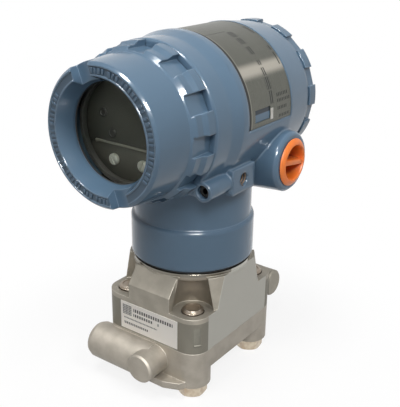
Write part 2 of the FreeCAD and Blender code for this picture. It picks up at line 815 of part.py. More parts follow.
set_screw_sketch = new_sketch(housing, "set_screw_sketch", "XZ_Plane",
                              (0, 0, -(collar_radius + cut_margin)))
round_outline(set_screw_sketch, set_screw_radius + close_gap, 0, set_screw_height)
pocket(housing, "set_screw_hole", set_screw_sketch, collar_radius + cut_margin - neck_bore * 0.5, True)
captive_hole_sketch = new_sketch(housing, "captive_hole_sketch", "XZ_Plane", (0, 0, -wall_front))
for side in (-1, 1):
    round_outline(captive_hole_sketch, captive_shank_radius + close_gap,
                  captive_shift + captive_spacing * (side * 0.5), axis_height - captive_drop)
pocket(housing, "captive_holes", captive_hole_sketch, captive_grip + close_gap)
fixing_hole_sketch = new_sketch(housing, "fixing_hole_sketch", "XZ_Plane", (0, 0, -wall_rear))
for side in (-1, 1):
    round_outline(fixing_hole_sketch, terminal_fixing_radius + close_gap,
                  terminal_fixing_spacing * (side * 0.5),
                  axis_height - terminal_drop + terminal_fixing_rise)
pocket(housing, "fixing_holes", fixing_hole_sketch, terminal_fixing_grip + close_gap, True)
node(housing, "housing")

# Nameplate band wrapped over the top of the barrel, with a window slot near its right end
plate = new_body("nameplate_body", (0, 0, axis_height))
plate_sketch = new_sketch(plate, "nameplate_sketch", "YZ_Plane")
plate_inside = shoulder_radius - plate_recess
outline(plate_sketch, [
    (close_gap * 2 - plate_front, plate_inside),
    (plate_rear - close_gap * 2, plate_inside),
    (plate_rear - close_gap * 2, plate_inside + plate_thickness),
    (close_gap * 2 - plate_front, plate_inside + plate_thickness),
])
revolve(plate, "nameplate_band", plate_sketch, "H_Axis", plate_angle - 1)
plate_slot_sketch = new_sketch(plate, "plate_slot_sketch", "YZ_Plane",
                               (0, 0, shoulder_radius + cut_margin))
outline(plate_slot_sketch, [
    (-plate_slot_front, -plate_slot_low),
    (plate_slot_rear, -plate_slot_low),
    (plate_slot_rear, plate_slot_high),
    (-plate_slot_front, plate_slot_high),
])
pocket(plate, "plate_slot", plate_slot_sketch, shoulder_radius * 0.5)
node(plate, "nameplate")

# Electronics case with a stepped face, its board and the two captive screws
case_round = cylinder("case_round", case_radius, case_front - case_rear, (0, -case_front, axis_height),
                      TURN_Y)
case_low = box("case_low_face", (-case_radius - cut_margin, -case_front - cut_margin,
                                 axis_height - case_radius - cut_margin),
               (case_radius + cut_margin, case_step - case_front, axis_height - case_step_drop))
captive_holes = []
captive_screws = []
for side, word in ((-1, "left"), (1, "right")):
    across = captive_shift + captive_spacing * (side * 0.5)
    height = axis_height - captive_drop
    captive_holes.append(cylinder("captive_clearance_" + word, captive_shank_radius + captive_relief,
                                  case_front + cut_margin, (across, -case_front - cut_margin, height),
                                  TURN_Y))
    captive_screws.append(fuse("captive_screw_" + word, [
        cylinder("captive_head_" + word, captive_head_radius, captive_head_height,
                 (across, case_step - case_front - captive_head_height, height), TURN_Y),
        cylinder("captive_shank_" + word, captive_shank_radius,
                 case_front - case_step + wall_front + captive_grip,
                 (across, case_step - case_front, height), TURN_Y)]))
captive_bore = group("captive_clearances", captive_holes)
node(cut("case_shape", cut("case_stepped", case_round, case_low), captive_bore), "electronics_case")
board_disc = cylinder("board_disc", case_radius, board_thickness,
                      (0, -case_rear + close_gap, axis_height), TURN_Y)
node(cut("board_shape", board_disc, captive_bore), "electronics_board")
node(group("captive_screw_pair", captive_screws), "captive_screws")

# Terminal block with its wiring screws and fixing screws
terminal_low = axis_height - terminal_drop
terminal_rear = wall_rear + close_gap + terminal_depth
wiring_screws = []
wiring_holes = []
for step, word in ((-1, "left"), (0, "middle"), (1, "right")):
    across = terminal_pitch * step
    height = terminal_low + terminal_screw_rise
    wiring_holes.append(cylinder("wiring_hole_" + word, terminal_screw_radius + close_gap,
                                 terminal_screw_depth + cut_margin,
                                 (across, terminal_rear - terminal_screw_depth - close_gap, height),
                                 TURN_Y))
    wiring_screws.append(fuse("wiring_screw_" + word, [
        cylinder("wiring_shank_" + word, terminal_screw_radius, terminal_screw_depth + close_gap,
                 (across, terminal_rear - terminal_screw_depth, height), TURN_Y),
        cylinder("wiring_head_" + word, terminal_head_radius, terminal_head_height,
                 (across, terminal_rear + close_gap, height), TURN_Y)]))
fixing_screws = []
for side, word in ((-1, "left"), (1, "right")):
    across = terminal_fixing_spacing * (side * 0.5)
    height = terminal_low + terminal_fixing_rise
    wiring_holes.append(cylinder("fixing_hole_" + word, terminal_fixing_radius + close_gap,
                                 terminal_depth + cut_margin * 2,
                                 (across, wall_rear - cut_margin, height), TURN_Y))
    fixing_screws.append(fuse("fixing_screw_" + word, [
        cylinder("fixing_shank_" + word, terminal_fixing_radius,
                 terminal_depth + terminal_fixing_grip + close_gap * 2,
                 (across, wall_rear - terminal_fixing_grip, height), TURN_Y),
        cylinder("fixing_head_" + word, terminal_fixing_radius * 2, terminal_fixing_radius,
                 (across, terminal_rear + close_gap, height), TURN_Y)]))
terminal_body = box("terminal_box", (terminal_width / -2, wall_rear + close_gap, terminal_low),
                    (terminal_width / 2, terminal_rear, terminal_low + terminal_height))
node(cut("terminal_shape", terminal_body, group("terminal_holes", wiring_holes)), "terminal_block")
node(group("wiring_screw_set", wiring_screws), "terminal_screws")
node(group("fixing_screw_pair", fixing_screws), "terminal_fixing_screws")

# Jam screw in its boss, and the set screw that locks the neck
node(cylinder("jam_screw_shape", jam_hole_radius - close_gap, jam_screw_length,
              (jam_reach, jam_screw_sink - housing_front, jam_height), TURN_Y), "cover_jam_screw")
node(cylinder("set_screw_shape", set_screw_radius, set_screw_length,
              (0, neck_bore + fit_gap, set_screw_height), TURN_Y), "neck_set_screw")

# Conduit plugs: a rimmed cup with a grip bar across it, one in each conduit entry
for side, word in ((1, "right"), (-1, "left")):
    plug = new_body("plug_body_" + word)
    plug.Placement = FreeCAD.Placement(
        FreeCAD.Vector(0, 0, 0), FreeCAD.Rotation(FreeCAD.Vector(0, 0, 1), 0 if side > 0 else 180))
    place(plug, (0, conduit_back, conduit_height))
    plug_face = conduit_reach + close_gap + plug_rim_thickness
    plug_profile = new_sketch(plug, "plug_profile_" + word, "XZ_Plane")
    outline(plug_profile, [
        (conduit_reach - plug_depth, 0),
        (conduit_reach - plug_depth, conduit_bore - close_gap * 2),
        (conduit_reach + close_gap, conduit_bore - close_gap * 2),
        (conduit_reach + close_gap, plug_rim_radius),
        (plug_face - small_edge / 2, plug_rim_radius),
        (plug_face, plug_rim_radius - small_edge / 2),
        (plug_face, 0),
    ])
    revolve(plug, "plug_turning_" + word, plug_profile, "H_Axis")
    cup_sketch = new_sketch(plug, "plug_cup_sketch_" + word, "YZ_Plane", (0, 0, plug_face))
    round_outline(cup_sketch, plug_cup_radius, 0, 0)
    pocket(plug, "plug_cup_" + word, cup_sketch, plug_cup_depth)
    bar_sketch = new_sketch(plug, "plug_bar_sketch_" + word, "YZ_Plane",
                            (0, 0, plug_face - plug_cup_depth - small_edge), plug_turn)
    outline(bar_sketch, [
        (-plug_cup_radius - small_edge, plug_bar_width / -2),
        (plug_cup_radius + small_edge, plug_bar_width / -2),
        (plug_cup_radius + small_edge, plug_bar_width / 2),
        (-plug_cup_radius - small_edge, plug_bar_width / 2),
    ])
    pad(plug, "plug_bar_" + word, bar_sketch, plug_cup_depth + small_edge - plug_bar_sink)
    node(plug, "conduit_plug_" + word)

# Sensor module: eared base, faceted shoulder, turned ring and the neck that the housing swivels on
ears = []
bolt_holes = []
scoops = []
bolt_places = []
for side_x, word_x in ((1, "right"), (-1, "left")):
    for side_y, word_y in ((-1, "front"), (1, "back")):
        bolt_places.append((bolt_half_x * side_x, bolt_half_y * side_y, "%s_%s" % (word_y, word_x)))
for across, along, word in bolt_places:
    ears.append(cylinder("module_ear_" + word, ear_radius, ear_top - seam_height,
                         (across, along, seam_height)))
    bolt_holes.append(cylinder("module_bolt_hole_" + word, bolt_hole_radius,
                               ear_top - seam_height + cut_margin * 2,
                               (across, along, seam_height - cut_margin)))
    scoops.append(cone("ear_scoop_" + word, scoop_low_radius, scoop_high_radius,
                       turned_ring_low - ear_top,
                       (across, along, ear_top)))
base_wide = box("module_base_wide", (-module_half_x, -bolt_half_y, seam_height),
                (module_half_x, bolt_half_y, ear_top))
base_long = box("module_base_long", (-bolt_half_x, -module_half_y, seam_height),
                (bolt_half_x, module_half_y, ear_top))
shoulder_cone = cone("module_shoulder_cone", shoulder_low_radius, shoulder_high_radius,
                     turned_ring_low - ear_top + small_edge,
                     (0, 0, ear_top))
facets = []
for word, half_width in (("across", module_half_x), ("middle", facet_half_width)):
    facet = new_body("module_facet_body_" + word)
    facet_sketch = new_sketch(facet, "module_facet_sketch_" + word, "YZ_Plane", (0, 0, -half_width))
    outline(facet_sketch, [
        (-module_half_y, seam_height + small_edge),
        (module_half_y, seam_height + small_edge),
        (module_half_y, facet_crease),
        (facet_top_reach, turned_ring_low),
        (-facet_top_reach, turned_ring_low),
        (-module_half_y, facet_crease),
    ])
    pad(facet, "module_facet_" + word, facet_sketch, half_width * 2)
    facets.append(facet)
shoulder = common("module_shoulder", [shoulder_cone, facets[0]])
shoulder_scooped = cut("module_shoulder_scooped", fuse("module_shoulder_raw", [shoulder, facets[1]]),
                       group("ear_scoops", scoops))
turned_ring = cylinder("module_turned_ring", turned_ring_radius, turned_ring_height + turned_ring_root,
                       (0, 0, turned_ring_low - turned_ring_root))
module_neck = cylinder("module_neck", neck_bore - fit_gap, module_neck_top - seam_height - small_edge,
                       (0, 0, seam_height + small_edge))
back_arm = new_body("module_back_arm_body", (0, back_arm_reach, back_arm_height))
back_arm_sketch = new_sketch(back_arm, "module_back_arm_sketch", "XZ_Plane")
outline(back_arm_sketch, [
    (-back_arm_half, 0),
    (-back_arm_half, back_arm_radius - small_edge),
    (small_edge - back_arm_half, back_arm_radius),
    (back_arm_half - small_edge, back_arm_radius),
    (back_arm_half, back_arm_radius - small_edge),
    (back_arm_half, 0),
])
revolve(back_arm, "module_back_arm", back_arm_sketch, "H_Axis")
module_raw = fuse("module_raw", [base_wide, base_long] + ears + [shoulder_scooped, turned_ring,
                                                                 module_neck, back_arm])
module_cuts = list(bolt_holes)
for side, word in ((-1, "front"), (1, "back")):
    module_cuts.append(cylinder("isolator_seat_" + word, isolator_radius + close_gap,
                                isolator_thickness + close_gap + cut_margin,
                                (0, isolator_back * side, seam_height - cut_margin)))
node(cut("module_shape", module_raw, group("module_cuts", module_cuts)), "sensor_module")
node(box("header_box", (header_width / -2, header_depth / -2, module_neck_top + close_gap),
         (header_width / 2, header_depth / 2, module_neck_top + close_gap + header_height)),
     "module_header")

# Ribbon cable from the module header up to the electronics board
ribbon_low = module_neck_top + close_gap + header_height + close_gap
ribbon_rise = box("ribbon_rise", (ribbon_width / -2, ribbon_thickness / -2, ribbon_low),
                  (ribbon_width / 2, ribbon_thickness / 2, ribbon_top))
ribbon_run = box("ribbon_run", (ribbon_width / -2, close_gap * 2 + board_thickness - case_rear,
                                ribbon_top - ribbon_thickness),
                 (ribbon_width / 2, ribbon_thickness / 2, ribbon_top))
node(fuse("ribbon_shape", [ribbon_rise, ribbon_run]), "ribbon_cable")

# Seal in the gap under the collar, module label and isolating diaphragms
node(torus("neck_seal_ring", turned_ring_radius - collar_gap, collar_gap / 2 - close_gap,
           (0, 0, turned_ring_top + collar_gap / 2)), "neck_seal")
node(box("label_sheet", (-label_half_width, -module_half_y - label_thickness, label_low),
         (label_half_width, -module_half_y, label_high)), "module_label")
isolators = []
process_seals = []
for side, word in ((-1, "front"), (1, "back")):
    isolators.append(cylinder("isolator_" + word, isolator_radius, isolator_thickness,
                              (0, isolator_back * side, seam_height)))
    process_seals.append(torus("process_seal_" + word, process_seal_radius, process_seal_section,
                               (0, isolator_back * side, seam_height - process_seal_section - close_gap)))
node(group("isolator_pair", isolators), "isolating_diaphragms")
node(group("process_seal_pair", process_seals), "process_seals")

# Process flange: ported block with eared feet, an arm and a cross boss on each long side
flange_top = seam_height - close_gap
flange_parts = [
    box("flange_wide", (-module_half_x, -bolt_half_y, flange_web),
        (module_half_x, bolt_half_y, flange_top)),
    box("flange_long", (-bolt_half_x, -module_half_y, flange_web),
        (bolt_half_x, module_half_y, flange_top)),
    box("flange_pad", (-pad_half_width, -pad_half_length, 0),
        (pad_half_width, pad_half_length, flange_top - small_edge)),
]
flange_cuts = []
for across, along, word in bolt_places:
    flange_parts.append(cylinder("flange_ear_" + word, ear_radius, flange_top - foot_lift,
                                 (across, along, foot_lift)))
    flange_cuts.append(cylinder("flange_bolt_hole_" + word, bolt_hole_radius, flange_top + cut_margin * 2,
                                (across, along, -cut_margin)))
for side, word in ((-1, "front"), (1, "back")):
    inner = bolt_half_y * side - ear_radius
    outer = bolt_half_y * side + ear_radius
    flange_parts.append(box("flange_foot_" + word, (-bolt_half_x, inner, foot_lift),
                            (bolt_half_x, outer, flange_top - small_edge)))
    lip = new_body("flange_lip_body_" + word)
    lip_sketch = new_sketch(lip, "flange_lip_sketch_" + word, "XY_Plane", (0, 0, foot_lift))
    outline(lip_sketch, [
        (-lip_root_half_width, lip_root_reach * side),
        (-lip_corner_half_width, lip_corner_reach * side),
        (-lip_half_width, lip_reach * side),
        (lip_half_width, lip_reach * side),
        (lip_corner_half_width, lip_corner_reach * side),
        (lip_root_half_width, lip_root_reach * side),
    ])
    pad(lip, "flange_lip_" + word, lip_sketch, lip_height - foot_lift)
    flange_parts.append(lip)
    arm = new_body("flange_arm_body_" + word, (0, arm_back * side, arm_height))
    arm_sketch = new_sketch(arm, "flange_arm_sketch_" + word, "XZ_Plane")
    outline(arm_sketch, [
        (-arm_end, 0),
        (-arm_end, arm_radius - arm_round),
        (arm_round * 0.3 - arm_end, arm_radius - arm_round * 0.3),
        (arm_round - arm_end, arm_radius),
        (boss_shift, arm_radius),
        (boss_shift, 0),
    ])
    revolve(arm, "flange_arm_" + word, arm_sketch, "H_Axis")
    flange_parts.append(arm)
    boss = new_body("flange_boss_body_" + word, (boss_shift, 0, boss_height))
    boss_sketch = new_sketch(boss, "flange_boss_sketch_" + word, "XY_Plane")
    outline(boss_sketch, [
        (0, bolt_half_y * side),
        (boss_radius, bolt_half_y * side),
        (boss_radius, (boss_end - boss_edge) * side),
        (boss_radius - boss_edge, boss_end * side),
        (0, boss_end * side),
    ])
    revolve(boss, "flange_boss_" + word, boss_sketch, "V_Axis")
    flange_parts.append(boss)
    flange_cuts.append(cylinder("process_port_" + word, port_radius, port_depth + cut_margin,
                                (0, bolt_half_y * side, -cut_margin)))
    flange_cuts.append(cylinder("process_passage_" + word, passage_radius,
                                flange_top - port_depth + small_edge,
                                (0, (isolator_back + chamber_radius - passage_radius - small_edge) * side,
                                 port_depth - small_edge)))
    flange_cuts.append(cylinder("process_chamber_" + word, chamber_radius, chamber_depth + cut_margin,
                                (0, isolator_back * side, flange_top - chamber_depth)))
    groove_outside = cylinder("seal_groove_outside_" + word,
                              process_seal_radius + process_seal_section + close_gap,
                              process_seal_section * 2 + close_gap + cut_margin,
                              (0, isolator_back * side,
                               seam_height - process_seal_section * 2 - close_gap * 2))
    groove_inside = cylinder("seal_groove_inside_" + word,
                             process_seal_radius - process_seal_section - close_gap,
                             (process_seal_section + cut_margin) * 4,
                             (0, isolator_back * side, flange_web))
    flange_cuts.append(cut("seal_groove_" + word, groove_outside, groove_inside))
flange_raw = fuse("flange_raw", flange_parts)
node(cut("flange_shape", flange_raw, fuse("flange_cuts", flange_cuts)), "process_flange")

# Flange bolts: hex heads under the feet, ends showing above the ears
bolts = []
for across, along, word in bolt_places:
    head = doc.addObject("Part::Prism", "bolt_head_" + word)
    head.Polygon = 6
    bind(head, "Circumradius", bolt_head_flats / 1.7320508)
    bind(head, "Height", bolt_head_height)
    head.Placement = FreeCAD.Placement(
        FreeCAD.Vector(0, 0, 0), FreeCAD.Rotation(FreeCAD.Vector(0, 0, 1), bolt_head_turn.value))
    head.setExpression("Placement.Rotation.Angle", bolt_head_turn.text)
    place(head, (across, along, foot_lift - bolt_head_height))
    bolts.append(fuse("flange_bolt_" + word, [
        head,
        cylinder("bolt_shank_" + word, bolt_radius, bolt_end_height - bolt_end_edge - foot_lift,
                 (across, along, foot_lift)),
        cone("bolt_end_" + word, bolt_radius, bolt_radius - bolt_end_edge, bolt_end_edge,
             (across, along, bolt_end_height - bolt_end_edge))]))
node(group("flange_bolt_set", bolts), "flange_bolts")

doc.recompute()

# Every object must be sound before anything is written
faults = []
for made in doc.Objects:
    states = list(made.State)
    if "Invalid" in states or "Error" in states:
        faults.append("%s is in a faulty state" % made.Name)
    has_form = hasattr(made, "Shape") and made.isDerivedFrom("Part::Feature")
    if has_form and not made.isDerivedFrom("Sketcher::SketchObject"):
        if made.Shape.isNull() or not made.Shape.isValid():
            faults.append("%s has no sound shape" % made.Name)
if faults:
    raise RuntimeError("; ".join(faults))

os.makedirs("parts", exist_ok=True)
for made in nodes:
    made.Shape.exportStep("parts/%s.step" % made.Label)
    box_now = made.Shape.BoundBox
    print(made.Label, len(made.Shape.Solids), round(made.Shape.Volume, 1),
          [round(value, 2) for value in (box_now.XMin, box_now.XMax, box_now.YMin, box_now.YMax,
                                         box_now.ZMin, box_now.ZMax)])
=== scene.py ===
import math

import bmesh
import bpy
from mathutils import Matrix, Vector


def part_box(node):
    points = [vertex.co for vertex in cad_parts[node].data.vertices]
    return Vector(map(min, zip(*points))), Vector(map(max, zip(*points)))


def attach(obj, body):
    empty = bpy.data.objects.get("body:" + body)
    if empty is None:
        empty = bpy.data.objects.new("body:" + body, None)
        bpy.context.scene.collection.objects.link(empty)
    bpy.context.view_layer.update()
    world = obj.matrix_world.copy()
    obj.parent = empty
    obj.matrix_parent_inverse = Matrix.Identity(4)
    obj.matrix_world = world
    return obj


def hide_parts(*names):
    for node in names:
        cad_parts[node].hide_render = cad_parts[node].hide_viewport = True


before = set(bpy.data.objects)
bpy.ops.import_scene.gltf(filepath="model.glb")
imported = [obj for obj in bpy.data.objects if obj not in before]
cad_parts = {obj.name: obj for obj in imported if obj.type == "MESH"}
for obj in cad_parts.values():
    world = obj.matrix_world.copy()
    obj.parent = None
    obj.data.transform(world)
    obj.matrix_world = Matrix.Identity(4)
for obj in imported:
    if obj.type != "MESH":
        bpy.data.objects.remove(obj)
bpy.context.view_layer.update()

MM = 0.001


def extent(node):
    """The low and the high corner of a CAD node's box, in millimetres."""
    return [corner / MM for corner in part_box(node)]


# Places and sizes in millimetres; heights are above the underside of the process flange
COVER_LOW, COVER_HIGH = extent("front_cover")
AXIS = (COVER_LOW.z + COVER_HIGH.z) / 2
RING_FLOOR = COVER_LOW.y + 0.5
RING_INNER = 26.7
RING_OUTER = 30.2
MARK_INNER = 27.15
MARK_OUTER = 29.75
SLOT_ANGLE = -20.0
COVER_PITCH = 2.0
SKIRT_RADIUS = 32.8
BORE_RADIUS = 33.1
CASE_FRONT = extent("electronics_case")[0].y
CASE_STEP = CASE_FRONT + 1.8
STEP_HEIGHT = AXIS - 8.3
PLATE_RADIUS = 38.5
PLATE_EDGE = -8.0
CONDUIT_Y = 24.9
CONDUIT_Z = 108.6
CONDUIT_BORE = 10.45
CONDUIT_FACE = extent("conduit_plug_right")[1].x
CONDUIT_END = 24.0
CUP_RADIUS = 9.0
GROUND_HOLE = (35.2, -7.5, 107.2)
BOLT_X = 20.65
BOLT_Y = 27.0
BOLT_FOOT, BOLT_TOP = [corner.z for corner in extent("flange_bolts")]
BOLT_SEAT = 0.6
BOLT_RADIUS = 5.5
HEAD_ACROSS = 13.5
HEAD_TURN = 6.0
MODULE_FOOT = extent("sensor_module")[0].z
EAR_TOP = 40.2
EAR_RADIUS = 10.2
SCOOP_RADIUS = 10.3
SCOOP_TAPER = 2.8 / 16.6
NECK_RING_FOOT = 56.9
NECK_RING_HEAD = 58.6
NECK_RING_RADIUS = 29.0
PANEL_SIDE = 29.95
PANEL_HALF = 26.8
LABEL_FRONT = extent("module_label")[0].y

TO_FRONT = Matrix.Rotation(math.radians(90), 4, "X")
TO_BACK = Matrix.Rotation(math.radians(-90), 4, "X")
TO_RIGHT = Matrix.Rotation(math.radians(90), 4, "Y")
TO_LEFT = Matrix.Rotation(math.radians(-90), 4, "Y")
UPSIDE_DOWN = Matrix.Rotation(math.radians(180), 4, "X")


def tint(red, green, blue):
    """A colour read on screen, as the linear values that a shader takes."""
    def linear(value):
        value = value / 255
        if value <= 0.04045:
            return value / 12.92
        return ((value + 0.055) / 1.055) ** 2.4
    return (linear(red), linear(green), linear(blue), 1.0)


class Field:
    """One output of a finish; sums on fields become Math nodes."""

    def __init__(self, finish, socket):
        self.finish = finish
        self.socket = socket

    def math(self, operation, *values):
        return self.finish.node("ShaderNodeMath", {"operation": operation}, dict(enumerate(values)))

    def __add__(self, other):
        return self.math("ADD", self, other)

    def __radd__(self, other):
        return self.math("ADD", other, self)

    def __sub__(self, other):
        return self.math("SUBTRACT", self, other)

    def __rsub__(self, other):
        return self.math("SUBTRACT", other, self)

    def __mul__(self, other):
        return self.math("MULTIPLY", self, other)

    def __rmul__(self, other):
        return self.math("MULTIPLY", other, self)

    def __truediv__(self, other):
        return self.math("DIVIDE", self, other)

    def __lt__(self, other):
        return self.math("LESS_THAN", self, other)

    def __gt__(self, other):
        return self.math("GREATER_THAN", self, other)

    def __abs__(self):
        return self.math("ABSOLUTE", self)

    def most(self, other):
        return self.math("MAXIMUM", self, other)

    def hypot(self, other):
        return self.math("SQRT", self * self + other * other)

    def degrees_from(self, other):
        """The angle in degrees, from the axis of the other field."""
        return self.math("ARCTAN2", self, other) * math.degrees(1)

    def dashes(self, pitch, share):
        """One over the first share of each pitch."""
        return self.math("FRACT", self / pitch) < share

    def rise(self, low, high):
        """Nought at low, one at high, and smooth between."""
        return self.finish.node("ShaderNodeMapRange", {"interpolation_type": "SMOOTHSTEP"},
                                {"Value": self, "From Min": low, "From Max": high})

    def band(self, low, high, soft):
        """One from low to high, with soft ends."""
        return self.rise(low - soft, low + soft) - self.rise(high - soft, high + soft)


class Finish:
    """The node tree of a material or of the surround."""

    def __init__(self, owner):
        self.owner = owner
        self.owner.use_nodes = True
        self.tree = owner.node_tree
        self.tree.nodes.clear()

    def node(self, kind, settings, sockets, output=0):
        added = self.tree.nodes.new(kind)
        for name, value in settings.items():
            setattr(added, name, value)
        for name, value in sockets.items():
            if isinstance(value, Field):
                self.tree.links.new(value.socket, added.inputs[name])
            else:
                added.inputs[name].default_value = value
        if len(added.outputs) == 0:
            return None
        return Field(self, added.outputs[output])

    def place(self):
        """Object coordinates in millimetres."""
        metres = self.node("ShaderNodeTexCoord", {}, {}, "Object")
        return self.node("ShaderNodeVectorMath", {"operation": "SCALE"}, {0: metres, "Scale": 1 / MM})

    def axes(self, spot):
        return [self.node("ShaderNodeSeparateXYZ", {}, {0: spot}, axis) for axis in ("X", "Y", "Z")]

    def join(self, x, y, z):
        return self.node("ShaderNodeCombineXYZ", {}, {"X": x, "Y": y, "Z": z})

    def noise(self, spot, grain, detail):
        """Cloudy noise whose grain is in the units of the spot."""
        return self.node("ShaderNodeTexNoise", {},
                         {"Vector": spot, "Scale": 1 / grain, "Detail": detail, "Roughness": 0.55})

    def mix(self, share, under, over):
        return self.node("ShaderNodeMix", {"data_type": "RGBA"}, {0: share, 6: under, 7: over}, 2)

    def rounded(self, radius):
        """The normal of a surface whose edges are rounded by a radius in millimetres."""
        return self.node("ShaderNodeBevel", {"samples": 24}, {"Radius": radius * MM})

    def edges(self, rounded):
        """One along the edges that the rounded normal softens, and nothing on the flats."""
        flat = self.node("ShaderNodeNewGeometry", {}, {}, "Normal")
        facing = self.node("ShaderNodeVectorMath", {"operation": "DOT_PRODUCT"},
                           {0: flat, 1: rounded}, "Value")
        return facing.rise(0.995, 0.80)

    def relief(self, height, normal):
        """A bump whose height is in millimetres."""
        return self.node("ShaderNodeBump", {},
                         {"Strength": 1.0, "Distance": MM, "Height": height, "Normal": normal})

    def surface(self, sockets):
        self.close(self.node("ShaderNodeBsdfPrincipled", {}, sockets))

    def close(self, shader):
        self.node("ShaderNodeOutputMaterial", {}, {"Surface": shader})


def new_finish(name):
    return Finish(bpy.data.materials.new(name))


# Finishes

PAINT_DEEP = tint(88, 113, 135)
PAINT_PALE = tint(97, 122, 144)
PAINT_EDGE_WEAR_AND_GLINT = tint(142, 163, 182)
PAINT_DULL_AND_SHADE = tint(62, 80, 96)


def cast_paint(name, edge_radius, dulled=0.0):
    """Glossy paint: paler edges that are partly wear and partly a painted highlight, painted shade in the
    ring recess and at the plate's opening, and bare metal in the conduit entries.
    """
    paint = new_finish(name)
    spot = paint.place()
    x, y, z = paint.axes(spot)
    cloud = paint.noise(spot, 24, 3)
    peel = paint.noise(spot, 1.3, 2)
    soft = paint.rounded(edge_radius)
    colour = paint.mix(cloud, PAINT_DEEP, PAINT_PALE)
    # Paler edges: partly wear, partly a painted highlight.
    colour = paint.mix(paint.edges(soft) * 0.35, colour, PAINT_EDGE_WEAR_AND_GLINT)
    if dulled:
        colour = paint.mix(dulled, colour, PAINT_DULL_AND_SHADE)
    # Painted shade in the ring recess of the front cover.
    ring = x.hypot(z - AXIS).band(RING_INNER, RING_OUTER, 0.05)
    recess = (y < RING_FLOOR + 0.2) * (y > RING_FLOOR - 0.08) * ring
    colour = paint.mix(recess * 0.7, colour, PAINT_DULL_AND_SHADE)
    # Painted shade at the upper edge of the plate's opening.
    colour = paint.mix(plate_opening_shade(x, y, z) * 0.85, colour, tint(24, 28, 32))
    bare = ((y - CONDUIT_Y).hypot(z - CONDUIT_Z) < CONDUIT_BORE) * (abs(x) > CONDUIT_END)
    colour = paint.mix(bare, colour, tint(150, 148, 142))
    paint.surface({
        "Base Color": colour,
        "Roughness": 0.13 + 0.06 * cloud,
        "Specular IOR Level": 0.30,
        "Metallic": bare * 0.8,
        "Normal": paint.relief(peel * 0.010, soft),
    })
    return paint.owner


def plate_opening_shade(x, y, z):
    """Painted shade along the upper edge of the opening in the plate."""
    front, back = -5.0, 8.7
    foot, head = AXIS + 3.0, AXIS + 5.6
    return (x > PLATE_RADIUS - 1.5) * y.band(front, back, 0.05) * z.band(foot, head, 0.3)


def blasted_steel(name, deep, pale):
    """Blasted castings: painted shade on the ears and in the right-hand scoops, paler edges that are partly
    wear and partly a painted highlight, a turned ring at the neck, and milled sides painted lighter as
    painted light.
    """
    steel = new_finish(name)
    spot = steel.place()
    x, y, z = steel.axes(spot)
    cloud = steel.noise(spot, 9, 4)
    grit = steel.noise(spot, 0.45, 2)
    soft = steel.rounded(0.5)
    colour = steel.mix(cloud.rise(0.3, 0.7), tint(*deep), tint(*pale))
    near_bolt = (abs(x) - BOLT_X).hypot(abs(y) - BOLT_Y)
    # Painted shade in the scoops round the bolts, on the right-hand side only.
    cone = near_bolt + (z - EAR_TOP) * SCOOP_TAPER
    scoop_shade = (1 - cone.rise(SCOOP_RADIUS, SCOOP_RADIUS + 0.5)) * (z > EAR_TOP + 0.2)
    colour = steel.mix(scoop_shade * (x > 0) * 0.5, colour, tint(108, 98, 84))
    # Painted shade on the ears, below their tops.
    ear = (near_bolt < EAR_RADIUS) * (abs(y) > BOLT_Y - 1.5) * (z > MODULE_FOOT + 0.1) * (z < EAR_TOP - 2.5)
    colour = steel.mix(ear * 0.7, colour, tint(100, 98, 88))
    # Paler edges: partly wear, partly a painted highlight.
    colour = steel.mix(steel.edges(soft) * 0.4, colour, tint(190, 186, 176))
    neck_ring = z.band(NECK_RING_FOOT, NECK_RING_HEAD, 0.05) * (x.hypot(y) > NECK_RING_RADIUS)
    colour = steel.mix(neck_ring, colour, tint(122, 118, 109))
    # The milled sides, painted lighter as painted light.
    milled_panel_and_light = (abs(x) > PANEL_SIDE) * (abs(y) < PANEL_HALF) * (z > MODULE_FOOT + 0.05)
    colour = steel.mix(milled_panel_and_light, colour, tint(170, 168, 160))
    steel.surface({
        "Base Color": colour,
        "Metallic": 0.55 + 0.4 * neck_ring,
        "Roughness": 0.50 + 0.14 * cloud - 0.38 * neck_ring,
        "Normal": steel.relief(grit * 0.02 * (1 - neck_ring) + cloud * 0.03, soft),
    })
    return steel.owner


def plate_steel():
    """Steel sheet brushed round the barrel, with a painted sheen on its right side, a painted glint behind
    its front edge and a painted shadow along that edge.
    """
    plate = new_finish("plate_steel")
    spot = plate.place()
    x, y, z = plate.axes(spot)
    turn = x.degrees_from(z - AXIS)
    brushed = plate.noise(plate.join(turn * 0.08, y * 5.0, 0.0), 1.0, 3)
    cloud = plate.noise(spot, 14, 3)
    colour = plate.mix(cloud, tint(88, 90, 83), tint(102, 102, 94))
    colour = plate.mix(brushed.rise(0.45, 0.75) * 0.25, colour, tint(134, 133, 123))
    # A painted sheen in a band on the right side of the plate.
    painted_sheen = turn.band(51.0, 59.5, 3.0)
    colour = plate.mix(painted_sheen * 0.75, colour, tint(192, 186, 174))
    # A painted glint just behind the front edge of the plate.
    rim = y.band(PLATE_EDGE + 0.1, PLATE_EDGE + 0.7, 0.1)
    colour = plate.mix(rim * 0.5, colour, tint(160, 157, 146))
    # A painted shadow along the front edge of the plate, laid in with the print.
    seam_shadow = 1 - y.rise(PLATE_EDGE - 0.2, PLATE_EDGE + 0.1)
    dark_mark = plate_print(turn, y).most(seam_shadow)
    colour = plate.mix(dark_mark, colour, tint(14, 15, 14))
    plate.surface({
        "Base Color": colour,
        "Metallic": 0.9 - 0.9 * dark_mark,
        "Roughness": 0.30 + 0.10 * brushed + 0.35 * dark_mark,
        "Normal": plate.relief(brushed * 0.10, plate.rounded(0.15)),
    })
    return plate.owner


